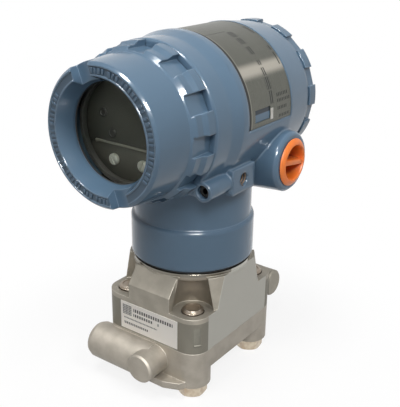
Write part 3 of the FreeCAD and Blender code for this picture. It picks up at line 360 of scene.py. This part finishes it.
# Plain ruled lines on the plate: lowest and highest angle, then the nearest and farthest depth
LONG_LINE = (17.2, 17.8, -8.0, 8.0)
LINE_GROUPS = [
    (19, 26, 7.8, 12.2), (27.5, 34, 7.8, 12.2), (37, 44, 8.0, 12.0), (49, 53, 8.2, 11.8),
    (55, 61, 8.2, 11.8), (62, 71, 8.0, 12.2), (72, 81, 8.4, 12.0),
    (15.5, 26, 24.5, 26.7), (40, 44, 24.6, 26.6), (46, 56, 24.8, 26.4),
    (75, 77.5, 15.0, 25.5), (79.3, 81.6, 14.4, 26.9), (84.6, 87, 14.4, 24.0), (90.5, 92.8, 16.0, 26.0),
]


def plate_print(turn, depth):
    """One long thin line, and ruled lines in groups."""
    low, high, near, far = LONG_LINE
    dark_mark = turn.band(low, high, 0.1) * depth.band(near, far, 0.1) * 0.6
    lines = depth.dashes(1.5, 0.55)
    for low, high, near, far in LINE_GROUPS:
        dark_mark = dark_mark + turn.band(low, high, 0.3) * depth.band(near, far, 0.15) * lines
    return dark_mark


def label_film():
    """White film with dark print on its front."""
    film = new_finish("label_film")
    spot = film.place()
    x, y, z = film.axes(spot)
    cloud = film.noise(spot, 6, 2)
    dark_mark = label_print(x, z) * (y < LABEL_FRONT + 0.15)
    colour = film.mix(cloud, tint(246, 241, 233), tint(250, 246, 240))
    colour = film.mix(dark_mark, colour, tint(44, 42, 42))
    film.surface({
        "Base Color": colour,
        "Roughness": 0.38 + 0.12 * cloud,
        "Normal": film.relief(film.noise(spot, 0.8, 2) * 0.006, film.rounded(0.1)),
    })
    return film.owner


# Plain print on the label: left, right, foot and head of a field, and for a row also the pitch of its dashes
SQUARE_BLOCK = (-17.0, -11.1, 30.2, 35.7)
DASH_ROWS = [
    (-10.0, 15.5, 33.1, 35.0, 1.5), (-10.0, 2.8, 30.4, 32.0, 1.5), (5.6, 6.6, 30.4, 31.8, 1.5),
    (-16.3, 5.6, 27.9, 28.6, 0.9), (-16.3, 0.0, 24.7, 26.0, 1.2),
]


def label_print(x, z):
    """A block of small even squares and rows of dashes."""
    left, right, foot, head = SQUARE_BLOCK
    squares = x.dashes(1.0, 0.75) * z.dashes(1.0, 0.75)
    dark_mark = x.band(left, right, 0.08) * z.band(foot, head, 0.08) * squares
    for left, right, foot, head, pitch in DASH_ROWS:
        dark_mark = dark_mark + x.band(left, right, 0.06) * z.band(foot, head, 0.06) * x.dashes(pitch, 0.62)
    return dark_mark


def plug_hollow_shade(x, y, z):
    """The inside of the plug cups, painted darker as painted shade."""
    inside = (y - CONDUIT_Y).hypot(z - CONDUIT_Z) < CUP_RADIUS
    return inside * (1 - abs(x).rise(CONDUIT_FACE - 4.5, CONDUIT_FACE - 0.6))


def case_foot_light(x, y, z):
    """The lower, set-back part of the front of the electronics case, painted lighter as painted light."""
    return (z < STEP_HEIGHT - 0.2) * (y < CASE_STEP + 0.5)


def retainer_foot_light(x, y, z):
    """The lower part of the ring that holds the glass, painted lighter towards the bottom as painted light.
    """
    return 1 - z.rise(AXIS - 20, AXIS - 8)


def moulded_plastic(name, deep, pale, roughness, edge_share, edge_wear_and_glint, part=None, shade_and_light_colour=None):
    """Moulded plastic or rubber with paler edges, partly wear and partly a painted highlight; a part given in
    the call gets a colour of its own, used for painted shade in the plug cups and painted light on the case
    and the retainer.
    """
    plastic = new_finish(name)
    spot = plastic.place()
    cloud = plastic.noise(spot, 7, 3)
    grain = plastic.noise(spot, 0.35, 2)
    soft = plastic.rounded(0.3)
    colour = plastic.mix(cloud, tint(*deep), tint(*pale))
    # Paler edges: partly wear, partly a painted highlight.
    colour = plastic.mix(plastic.edges(soft) * edge_share, colour, tint(*edge_wear_and_glint))
    # Painted shade in the plug cups, painted light on the case and the retainer.
    if part:
        colour = plastic.mix(part(*plastic.axes(spot)), colour, tint(*shade_and_light_colour))
    plastic.surface({
        "Base Color": colour,
        "Roughness": roughness + 0.12 * cloud,
        "Normal": plastic.relief(grain * 0.008, soft),
    })
    return plastic.owner


def machined_metal(name, deep, pale, roughness, grain_size, edge_wear_and_glint):
    """Small screws, threads and pads, paler along their edges, partly from wear and partly as a painted
    highlight.
    """
    metal = new_finish(name)
    spot = metal.place()
    cloud = metal.noise(spot, 4, 3)
    grain = metal.noise(spot, grain_size, 2)
    soft = metal.rounded(0.2)
    colour = metal.mix(cloud.rise(0.3, 0.7), tint(*deep), tint(*pale))
    # Paler edges: partly wear, partly a painted highlight.
    colour = metal.mix(metal.edges(soft) * 0.5, colour, tint(*edge_wear_and_glint))
    metal.surface({
        "Base Color": colour,
        "Metallic": 0.85,
        "Roughness": roughness + 0.14 * grain,
        "Normal": metal.relief(grain * 0.006, soft),
    })
    return metal.owner


def plated_bolts():
    """Yellowish plating, browner on the bolt ends above the ears."""
    plating = new_finish("plated_bolts")
    spot = plating.place()
    z = plating.axes(spot)[2]
    cloud = plating.noise(spot, 3, 3)
    grain = plating.noise(spot, 0.25, 2)
    soft = plating.rounded(0.2)
    colour = plating.mix(cloud.rise(0.3, 0.7), tint(182, 164, 142), tint(206, 194, 174))
    worn = plating.mix(cloud, tint(136, 124, 110), tint(164, 152, 138))
    colour = plating.mix(z.rise(EAR_TOP - 4.2, EAR_TOP - 2.2), colour, worn)
    # Paler edges: partly wear, partly a painted highlight.
    colour = plating.mix(plating.edges(soft) * 0.7, colour, tint(244, 238, 226))
    plating.surface({
        "Base Color": colour,
        "Metallic": 0.85,
        "Roughness": 0.26 + 0.14 * grain,
        "Normal": plating.relief(grain * 0.006, soft),
    })
    return plating.owner


def window_pane():
    """Clear glass with a faint green cast and a smeared gloss."""
    pane = new_finish("window_pane")
    smear = pane.noise(pane.place(), 11, 3)
    gloss = pane.node("ShaderNodeBsdfPrincipled", {}, {
        "Base Color": (0.02, 0.022, 0.02, 1.0),
        "Roughness": 0.04 + 0.05 * smear,
        "IOR": 1.45,
    })
    clear = pane.node("ShaderNodeBsdfTransparent", {}, {"Color": (0.975, 0.985, 0.96, 1.0)})
    shine = pane.node("ShaderNodeFresnel", {}, {"IOR": 1.25})
    pane.close(pane.node("ShaderNodeMixShader", {}, {0: shine, 1: clear, 2: gloss}))
    return pane.owner


COVER_PAINT = cast_paint("cover_paint", 0.9, 0.1)
HOUSING_PAINT = cast_paint("housing_paint", 2.2)
RAISED = cast_paint("raised_paint", 0.25, 0.5)
MODULE = blasted_steel("module_steel", (141, 136, 125), (156, 150, 138))
FLANGE = blasted_steel("flange_steel", (150, 144, 133), (165, 158, 147))
PLATE = plate_steel()
LABEL = label_film()
PANE = window_pane()
# The plug cups get a painted shade inside; the case and the retainer get painted light on their lower parts.
ORANGE = moulded_plastic("orange_plastic", (246, 124, 46), (252, 138, 56), 0.34, 0.35, (252, 152, 84),
                         plug_hollow_shade, (204, 104, 26))
CASE = moulded_plastic("case_plastic", (52, 53, 47), (62, 62, 56), 0.45, 0.5, (84, 82, 72),
                       case_foot_light, (108, 106, 99))
# The ledge's pale tone is partly a painted highlight along its edge.
TRIM = moulded_plastic("trim_plastic", (156, 154, 144), (170, 168, 156), 0.42, 0.4, (170, 168, 156))
BUTTON = moulded_plastic("button_plastic", (20, 20, 17), (27, 27, 23), 0.40, 0.3, (60, 60, 52))
RETAINER = moulded_plastic("retainer_plastic", (86, 89, 86), (96, 98, 95), 0.45, 0.4, (104, 105, 101),
                           retainer_foot_light, (146, 143, 140))
RUBBER = moulded_plastic("black_rubber", (26, 27, 28), (34, 35, 36), 0.62, 0.3, (66, 66, 66))
WASHER = moulded_plastic("seal_plastic", (222, 216, 202), (232, 227, 214), 0.42, 0.3, (240, 238, 230))
RIBBON = moulded_plastic("ribbon_grey", (160, 160, 158), (174, 174, 172), 0.48, 0.3, (196, 196, 194))
BOARD = moulded_plastic("board_green", (30, 84, 56), (40, 98, 66), 0.36, 0.4, (120, 150, 110))
HEADS = moulded_plastic("captive_heads", (250, 250, 240), (252, 252, 246), 0.40, 0.3, (254, 254, 250))
BOLTS = plated_bolts()
NICKEL = machined_metal("screw_nickel", (168, 166, 160), (186, 184, 178), 0.26, 0.3, (214, 212, 206))
DARK = machined_metal("blackened_screw", (44, 44, 44), (58, 58, 57), 0.36, 0.25, (96, 96, 94))
# The pad's dark tone matches the painted shade on the ear around it.
PAD = machined_metal("pad_steel", (106, 104, 96), (114, 112, 103), 0.60, 0.45, (118, 115, 106))
TARNISH = machined_metal("tarnished_thread", (84, 72, 62), (104, 90, 76), 0.62, 0.25, (124, 110, 94))
BARE = machined_metal("bare_thread", (150, 148, 142), (170, 168, 162), 0.34, 0.25, (204, 202, 196))


# Shapes

def at(x, y, z):
    return Matrix.Translation((x, y, z))


def spun(degrees):
    return Matrix.Rotation(math.radians(degrees), 4, "Z")


def placed(shape, *moves):
    """Moves a whole shape, the last move first."""
    whole = Matrix.Identity(4)
    for move in moves:
        whole = whole @ move
    bmesh.ops.transform(shape, matrix=whole, verts=shape.verts)
    return shape


def points_of(made):
    return [item for item in made["geom"] if isinstance(item, bmesh.types.BMVert)]


def lines_of(made):
    return [item for item in made["geom"] if isinstance(item, bmesh.types.BMEdge)]


def open_lines(shape):
    return [line for line in shape.edges if line.is_boundary]


def swept(corners, closed, degrees, steps, climb=0.0):
    """Spins radius and height points round the Z axis; open ends of a part turn are filled."""
    shape = bmesh.new()
    points = [shape.verts.new((radius, 0, height)) for radius, height in corners]
    after = points[1:] + points[:1] if closed else points[1:]
    lines = [shape.edges.new(pair) for pair in zip(points, after)]
    bmesh.ops.spin(shape, geom=points + lines, cent=(0, 0, 0), axis=(0, 0, 1), dvec=(0, 0, climb / steps),
                   angle=math.radians(degrees), steps=steps, use_merge=degrees == 360 and not climb,
                   use_duplicate=False)
    if closed:
        bmesh.ops.holes_fill(shape, edges=open_lines(shape), sides=0)
    return shape


def turned(profile, steps=48):
    """A full turning; where its profile ends on the axis, it is closed there."""
    shape = swept(profile, False, 360, steps)
    bmesh.ops.remove_doubles(shape, verts=shape.verts, dist=1e-4)
    return shape


def block(low, high, edge):
    """A block between two corners, all its edges rounded."""
    shape = bmesh.new()
    bmesh.ops.create_cube(shape, size=1.0)
    bmesh.ops.scale(shape, vec=[b - a for a, b in zip(low, high)], verts=shape.verts)
    bmesh.ops.translate(shape, vec=[(a + b) / 2 for a, b in zip(low, high)], verts=shape.verts)
    bmesh.ops.bevel(shape, geom=shape.edges[:], offset=edge, offset_type="OFFSET", affect="EDGES", segments=2,
                    profile=0.5, material=-1)
    return shape


def thread(root, crest, pitch, length, per_turn=48):
    """A helical ridge along +Z from nought to length; crest may lie outside or inside root."""
    buried = root - (crest - root) * 0.4
    foot = pitch * 0.7
    corners = [(buried, 0.0), (root, 0.0), (crest, pitch * 0.3), (crest, pitch * 0.4),
               (root, foot), (buried, foot)]
    turns = (length - foot) / pitch
    return swept(corners, True, 360 * turns, max(8, round(turns * per_turn)), turns * pitch)


def slotted_head(radius, height, shank, depth):
    """A cheese head on a shank, with a driver slot across it."""
    slot_half = radius * 0.15
    slot_floor = height * 0.45
    shape = turned([(0, -depth), (shank, -depth), (shank, 0), (radius, 0), (radius, height * 0.7),
                    (radius - height * 0.3, height), (0, height)])
    for side in (-slot_half, slot_half):
        bmesh.ops.bisect_plane(shape, geom=shape.verts[:] + shape.edges[:] + shape.faces[:], dist=1e-5,
                               plane_co=(side, 0, 0), plane_no=(1, 0, 0))
    middles = {face: face.calc_center_median() for face in shape.faces}
    top = [face for face, middle in middles.items() if middle.z > height * 0.72 and abs(middle.x) < slot_half]
    sunk = bmesh.ops.extrude_face_region(shape, geom=top)
    bmesh.ops.delete(shape, geom=top, context="FACES")
    for point in points_of(sunk):
        point.co.z = slot_floor
    return shape


def socket_screw(radius, length, across):
    """A grub screw with a hexagon socket in its upper face, which lies at nought."""
    chamfer = 0.35
    shape = turned([(0, -length), (radius * 0.8, -length), (radius, 0.2 * radius - length),
                    (radius, -chamfer), (radius - chamfer, 0.0)])
    rim = open_lines(shape)
    hexagon = bmesh.ops.create_circle(shape, segments=6, radius=across / math.sqrt(3), cap_ends=False)
    mouth = list({line for point in hexagon["verts"] for line in point.link_edges})
    bmesh.ops.bridge_loops(shape, edges=rim + mouth)
    sunk = bmesh.ops.extrude_edge_only(shape, edges=mouth)
    bmesh.ops.translate(shape, vec=(0, 0, -radius * 0.7), verts=points_of(sunk))
    bmesh.ops.contextual_create(shape, geom=lines_of(sunk))
    return shape


def hexagon_head():
    """A bolt head with a washer face above and the cone of its chamfer below."""
    face = HEAD_ACROSS / 2 * 0.95
    washer = HEAD_ACROSS / 2 * 0.93
    washer_height = 0.6
    chamfer_slope = math.tan(math.radians(30))
    shape = bmesh.new()
    bmesh.ops.create_circle(shape, segments=6, radius=HEAD_ACROSS / math.sqrt(3), cap_ends=False)
    bmesh.ops.subdivide_edges(shape, edges=shape.edges[:], cuts=9)
    rim = shape.edges[:]
    bmesh.ops.translate(shape, vec=(0, 0, BOLT_SEAT - washer_height), verts=shape.verts)
    shoulder = bmesh.ops.extrude_edge_only(shape, edges=rim)
    for point in points_of(shoulder):
        point.co.xy = point.co.xy.normalized() * washer
    seating = bmesh.ops.extrude_edge_only(shape, edges=lines_of(shoulder))
    bmesh.ops.translate(shape, vec=(0, 0, washer_height), verts=points_of(seating))
    bmesh.ops.contextual_create(shape, geom=lines_of(seating))
    side = bmesh.ops.extrude_edge_only(shape, edges=rim)
    for point in points_of(side):
        point.co.z = BOLT_FOOT + (point.co.xy.length - face) * chamfer_slope
    foot = bmesh.ops.extrude_edge_only(shape, edges=lines_of(side))
    for point in points_of(foot):
        point.co.xy = point.co.xy.normalized() * face
        point.co.z = BOLT_FOOT
    bmesh.ops.contextual_create(shape, geom=lines_of(foot))
    return placed(shape, spun(HEAD_TURN))


# The stepped and dished end of a bolt: how far in from the thread's crest, and how far below the top
BOLT_END = [
    (0.0, 1.5), (0.1, 1.3), (0.7, 1.0), (0.45, 0.7), (0.5, 0.5), (0.95, 0.35), (1.0, 0.05), (1.2, 0.0),
    (1.9, 0.0), (2.2, 0.25),
]


def bolt_shank():
    """The plain shank and the cut thread that ends above the ear."""
    pitch = 1.27
    groove = 0.6
    crest = BOLT_RADIUS - 0.02
    start = BOLT_SEAT - 0.3
    profile = [(0, start), (crest, start)]
    height = EAR_TOP - 6.2
    while height < BOLT_TOP - 2.0:
        profile += [(crest, height), (crest - groove, height + pitch * 0.45)]
        height += pitch
    profile += [(crest - inward, BOLT_TOP - below) for inward, below in BOLT_END]
    return turned(profile + [(0, BOLT_TOP - 0.25)])


def piece(name, shapes, finish, body, slot, *nodes, sharp=40):
    """Joins shapes drawn in millimetres into a named piece that rides on a body."""
    mesh = bpy.data.meshes.new(name)
    whole = bmesh.new()
    for shape in shapes:
        bmesh.ops.remove_doubles(shape, verts=shape.verts, dist=1e-4)
        bmesh.ops.recalc_face_normals(shape, faces=shape.faces)
        shape.to_mesh(mesh)
        shape.free()
        whole.from_mesh(mesh)
    bmesh.ops.scale(whole, vec=(MM, MM, MM), verts=whole.verts)
    whole.to_mesh(mesh)
    whole.free()
    mesh.shade_smooth()
    mesh.set_sharp_from_angle(angle=math.radians(sharp))
    mesh.materials.append(finish)
    made = bpy.data.objects.new(name, mesh)
    bpy.context.scene.collection.objects.link(made)
    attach(made, body)
    if nodes:
        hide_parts(*nodes)


# Pieces

# Widths of the raised marks on the cover ring, one list for each group
MARK_GROUPS = [
    [1.5, 1.1, 1.6, 1.2], [1.7, 1.2, 1.5], [1.1, 1.6, 1.3, 1.6, 1.2], [1.5, 1.2],
    [1.3, 1.7, 1.1, 1.5, 1.5, 1.2], [1.6, 1.1, 1.5, 1.3], [1.2, 1.6, 1.4],
]
MARK_GAP = 0.75
GROUP_GAP = 1.3
FIRST_MARK = 12.0


def ring_marks():
    """Plain raised bars in the ring of the front cover, in two like halves between the slots."""
    shapes = []
    per_length = math.degrees(2 / (MARK_INNER + MARK_OUTER))
    for half in (0, 180):
        turn = SLOT_ANGLE + half + FIRST_MARK
        for group in MARK_GROUPS:
            for width in group:
                turn += width / 2 * per_length
                mark = block((-width / 2, MARK_INNER, -0.1), (width / 2, MARK_OUTER, 0.48), 0.16)
                shapes.append(placed(mark, at(0, RING_FLOOR, AXIS), TO_FRONT, spun(-turn)))
                turn += (width / 2 + MARK_GAP) * per_length
            turn += GROUP_GAP * per_length
    piece("ring_marks", shapes, RAISED, "windowed_cover", "painted_casting")


def flange_bolts():
    shapes = []
    for x in (-BOLT_X, BOLT_X):
        for y in (-BOLT_Y, BOLT_Y):
            shapes += [placed(hexagon_head(), at(x, y, 0)), placed(bolt_shank(), at(x, y, 0))]
    piece("flange_bolt_set", shapes, BOLTS, "base", "plated_bolts", "flange_bolts", sharp=30)


def captive_screws():
    """The two bright heads on the foot of the electronics case."""
    low, high = extent("captive_screws")
    radius = 2.7
    shank_length = high.y - CASE_STEP
    heads = []
    for x, turn in ((low.x + radius, 35), (high.x - radius, -20)):
        head = slotted_head(radius, 1.6, 1.5, shank_length)
        heads.append(placed(head, at(x, CASE_STEP, AXIS - 16.0), TO_FRONT, spun(turn)))
    piece("captive_screw_pair", heads, HEADS, "electronics_housing", "screw_nickel", "captive_screws")


def small_screws():
    """The jam screw, which faces the front, and the set screw of the neck, which faces the back."""
    low, high = extent("cover_jam_screw")
    middle = (low + high) / 2
    jam = socket_screw((high.x - low.x) / 2, high.y - low.y, 2.6)
    jam = placed(jam, at(middle.x, low.y, middle.z), TO_FRONT)
    piece("jam_screw", [jam], DARK, "electronics_housing", "screw_nickel", "cover_jam_screw")
    low, high = extent("neck_set_screw")
    middle = (low + high) / 2
    grub = socket_screw((high.x - low.x) / 2, high.y - low.y, 2.0)
    grub = placed(grub, at(middle.x, high.y, middle.z), TO_BACK)
    piece("set_screw", [grub], DARK, "electronics_housing", "screw_nickel", "neck_set_screw")


def cover_threads():
    """Ridges on both cover skirts, which show once a cover is turned out."""
    crest = BORE_RADIUS - 0.04
    end_gap = 0.4
    length = 10.6
    ridge = thread(SKIRT_RADIUS, crest, COVER_PITCH, length)
    ridge = placed(ridge, at(0, COVER_HIGH.y - end_gap - length, AXIS), TO_BACK)
    piece("front_cover_thread", [ridge], BARE, "windowed_cover", "painted_casting")
    length = 9.1
    ridge = thread(SKIRT_RADIUS, crest, COVER_PITCH, length)
    ridge = placed(ridge, at(0, extent("rear_cover")[0].y + end_gap + length, AXIS), TO_FRONT)
    piece("rear_cover_thread", [ridge], BARE, "blind_cover", "painted_casting")


def case_details():
    """The ledge with its end stud and the two buttons on the front of the electronics case."""
    half = 18.3
    ledge = block((-half, CASE_FRONT - 0.45, STEP_HEIGHT - 0.2),
                  (half, CASE_FRONT + 0.3, STEP_HEIGHT + 0.9), 0.2)
    stud = placed(turned([(0, -0.4), (0.85, -0.4), (0.85, 0.35), (0.6, 0.6), (0, 0.6)], 24),
                  at(0.1 - half, CASE_FRONT, STEP_HEIGHT + 0.1), TO_FRONT)
    piece("case_ledge", [ledge, stud], TRIM, "electronics_housing", "black_plastic")
    profile = [(0, -0.4), (2.3, -0.4), (2.3, 0.3), (2.0, 0.6), (1.5, 0.65), (1.2, 0.35), (0, 0.3)]
    buttons = [placed(turned(profile), at(x, CASE_FRONT, z), TO_FRONT)
               for x, z in ((-13.6, AXIS + 5.4), (-8.5, AXIS - 3.5))]
    piece("case_buttons", buttons, BUTTON, "electronics_housing", "black_plastic")


def conduit_plugs():
    """Cups with a domed rim and a rounded grip bar, and the thread of the entry that each one closes."""
    floor_depth = 8.5
    lip = 1.95
    for side, outward, x in (("right", TO_RIGHT, CONDUIT_FACE), ("left", TO_LEFT, -CONDUIT_FACE)):
        low, high = extent("conduit_plug_" + side)
        depth = high.x - low.x
        rim = (high.z - low.z) / 2 - 0.25
        face = at(x, CONDUIT_Y, CONDUIT_Z)
        cup = turned([(0, -depth), (CUP_RADIUS, -depth), (9.4, 0.4 - depth), (9.4, -lip), (rim - 0.2, -lip),
                      (rim, -1.6), (rim - 0.3, -1.2), (rim - 1.3, -0.45), (9.7, -0.04), (9.3, 0.0),
                      (8.95, -0.25), (8.75, -0.8), (8.5, -floor_depth), (0, -floor_depth)], 64)
        bar = block((-1.3, -8.7, -floor_depth - 0.1), (1.3, 8.7, -0.55), 0.5)
        piece(side + "_plug_cup", [placed(cup, face, outward), placed(bar, face, outward, spun(-10))], ORANGE,
              side + "_plug", "orange_plastic", "conduit_plug_" + side)
        ridge = thread(CONDUIT_BORE - 0.2, CONDUIT_BORE - 0.8, 1.81, 13.0)
        ridge = placed(ridge, face, outward, at(0, 0, -15.6))
        piece(side + "_conduit_thread", [ridge], BARE, "electronics_housing", "painted_casting")


def plate_tab():
    """The bright tab at the end of the plate's opening."""
    tab = block((-2.7, 8.6, -0.5), (2.7, 10.9, 0.12), 0.2)
    aside = Matrix.Rotation(math.radians(88), 4, "Y")
    tab = placed(tab, at(0, 0, AXIS), aside, at(0, 0, PLATE_RADIUS))
    piece("plate_tab", [tab], NICKEL, "electronics_housing", "plate_steel")


def ear_pad():
    """A shallow pad that fades out upward, above a small ledge, on the front right ear of the module."""
    buried = 9.2
    pad = [(buried, 26.0), (9.66, 26.0), (9.66, 33.4), (9.45, 35.8), (buried, 35.8)]
    ledge = [(buried, 25.0), (9.72, 25.0), (9.92, 25.2), (9.92, 25.9), (9.76, 26.1), (buried, 26.1)]
    shapes = [placed(swept(corners, True, high - low, 8), at(BOLT_X, -BOLT_Y, 0), spun(low))
              for corners, low, high in ((pad, -51, -29), (ledge, -49, -27))]
    piece("ear_pad", shapes, PAD, "base", "blasted_steel", sharp=20)


def hole_threads():
    """The threads of the ground hole and of the two process ports."""
    ground = placed(thread(3.3, 2.9, 1.4, 8.0, 24), at(*GROUND_HOLE), TO_RIGHT, UPSIDE_DOWN)
    piece("ground_hole_thread", [ground], TARNISH, "electronics_housing", "painted_casting")
    ports = [placed(thread(5.56, 5.1, 1.41, 12.5, 32), at(0, y, 0.2)) for y in (-BOLT_Y, BOLT_Y)]
    piece("port_threads", ports, BARE, "base", "blasted_steel")


NODE_FINISHES = {
    COVER_PAINT: ("front_cover", "rear_cover"),
    HOUSING_PAINT: ("housing",),
    RUBBER: ("window_gasket", "front_cover_seal", "rear_cover_seal", "neck_seal"),
    WASHER: ("process_seals",),
    PANE: ("window_glass",),
    RETAINER: ("window_retainer",),
    CASE: ("electronics_case", "terminal_block", "module_header"),
    PLATE: ("nameplate", "isolating_diaphragms"),
    BOARD: ("electronics_board",),
    NICKEL: ("captive_screws", "terminal_screws", "terminal_fixing_screws", "cover_jam_screw",
             "neck_set_screw"),
    ORANGE: ("conduit_plug_right", "conduit_plug_left"),
    MODULE: ("sensor_module",),
    FLANGE: ("process_flange",),
    RIBBON: ("ribbon_cable",),
    LABEL: ("module_label",),
    BOLTS: ("flange_bolts",),
}


def dress_nodes():
    for finish, names in NODE_FINISHES.items():
        for name in names:
            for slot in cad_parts[name].material_slots:
                slot.material = finish


# Studio, in metres

AMBIENT = 0.12
WHITE = (1.0, 1.0, 1.0, 1.0)
FLOOR_HALF = 4.0
FLOOR_GAP = 0.00005
LAMP_AIM = Vector((0.0, 0.0, 0.085))
LAMP_DISTANCE = 0.8
CAMERA_PLACE = Vector((206.3, -280.0, 223.7)) * MM
AZIMUTH = math.radians(35.77)
ELEVATION = math.radians(21.92)
ROLL = math.radians(0.86)


def seen_rays(finish):
    """One for rays that see the background, straight or in a gloss or a pane."""
    straight, gloss, pane = [finish.node("ShaderNodeLightPath", {}, {}, ray)
                             for ray in ("Is Camera Ray", "Is Glossy Ray", "Is Transmission Ray")]
    return straight.most(gloss).most(pane)


def surround():
    """A world that is white to look at and lights the object only faintly."""
    world = bpy.data.worlds.new("white_surround")
    bpy.context.scene.world = world
    white = Finish(world)
    strength = AMBIENT + (1 - AMBIENT) * seen_rays(white)
    sky = white.node("ShaderNodeBackground", {}, {"Color": WHITE, "Strength": strength})
    white.node("ShaderNodeOutputWorld", {}, {"Surface": sky})


def floor():
    """A white sheet that keeps a faint shadow near the object and glows white farther away."""
    shape = bmesh.new()
    bmesh.ops.create_grid(shape, x_segments=2, y_segments=2, size=FLOOR_HALF)
    bmesh.ops.translate(shape, vec=(0, 0, BOLT_FOOT * MM - FLOOR_GAP), verts=shape.verts)
    mesh = bpy.data.meshes.new("studio_floor")
    shape.to_mesh(mesh)
    shape.free()
    sheet = new_finish("white_sheet")
    x, y, z = sheet.axes(sheet.place())
    seen = seen_rays(sheet)
    away = (0.85 + 0.15 * x.hypot(y).rise(60, 150)) * seen
    paper = sheet.node("ShaderNodeBsdfPrincipled", {}, {
        "Base Color": sheet.mix(seen, (0.34, 0.34, 0.34, 1), (0.93, 0.93, 0.93, 1)),
        "Roughness": 0.8,
        "Specular IOR Level": 0.1,
    })
    glow = sheet.node("ShaderNodeEmission", {}, {"Color": WHITE, "Strength": 1.0})
    sheet.close(sheet.node("ShaderNodeMixShader", {}, {0: away, 1: paper, 2: glow}))
    mesh.materials.append(sheet.owner)
    made = bpy.data.objects.new("studio_floor", mesh)
    bpy.context.scene.collection.objects.link(made)


def softbox(name, use, direction, width, height, brightness):
    """A lamp that faces the object, to light it or to show in its gloss."""
    toward = Vector(direction).normalized()
    lamp = bpy.data.lights.new(name, "AREA")
    lamp.shape = "RECTANGLE"
    lamp.size = width
    lamp.size_y = height
    lamp.energy = brightness * math.pi * width * height
    made = bpy.data.objects.new(name, lamp)
    made.location = LAMP_AIM + toward * LAMP_DISTANCE
    made.rotation_euler = toward.to_track_quat("Z", "Y").to_euler()
    made.visible_diffuse = use == "light"
    made.visible_glossy = use == "gloss"
    bpy.context.scene.collection.objects.link(made)


def lamps():
    softbox("overhead_box", "light", (0.0, -0.36, 0.93), 0.26, 0.26, 16.8)
    softbox("overhead_strip", "gloss", (-0.05, -0.52, 0.85), 0.14, 0.10, 180.0)
    softbox("right_box", "light", (0.66, -0.15, 0.74), 0.22, 0.22, 13.2)
    softbox("right_strip", "gloss", (0.537, -0.60, 0.57), 0.28, 0.09, 130.0)
    softbox("front_box", "light", (0.41, -0.66, 0.62), 0.20, 0.20, 13.0)
    softbox("front_strip", "gloss", (0.529, -0.511, 0.58), 0.10, 0.10, 90.0)
    softbox("back_box", "light", (-0.57, 0.82, 0.0), 0.30, 0.30, 10.0)


def camera():
    """The photograph's viewpoint, with its slight roll."""
    back = Vector((math.sin(AZIMUTH) * math.cos(ELEVATION), -math.cos(AZIMUTH) * math.cos(ELEVATION),
                   math.sin(ELEVATION)))
    level = Vector((math.cos(AZIMUTH), math.sin(AZIMUTH), 0.0))
    right = math.cos(ROLL) * level + math.sin(ROLL) * back.cross(level)
    up = back.cross(right)
    lens = bpy.data.cameras.new("photo_camera")
    lens.sensor_fit = "HORIZONTAL"
    lens.sensor_width = 36.0
    lens.lens = 65.4
    lens.clip_start = 0.01
    lens.clip_end = 20.0
    made = bpy.data.objects.new("photo_camera", lens)
    turn = Matrix((right, up, back)).transposed().to_4x4()
    made.matrix_world = Matrix.Translation(CAMERA_PLACE) @ turn
    bpy.context.scene.collection.objects.link(made)
    bpy.context.scene.camera = made


ring_marks()
flange_bolts()
captive_screws()
small_screws()
cover_threads()
case_details()
conduit_plugs()
plate_tab()
ear_pad()
hole_threads()
dress_nodes()
surround()
floor()
lamps()
camera()
bpy.context.scene.view_settings.view_transform = "Standard"
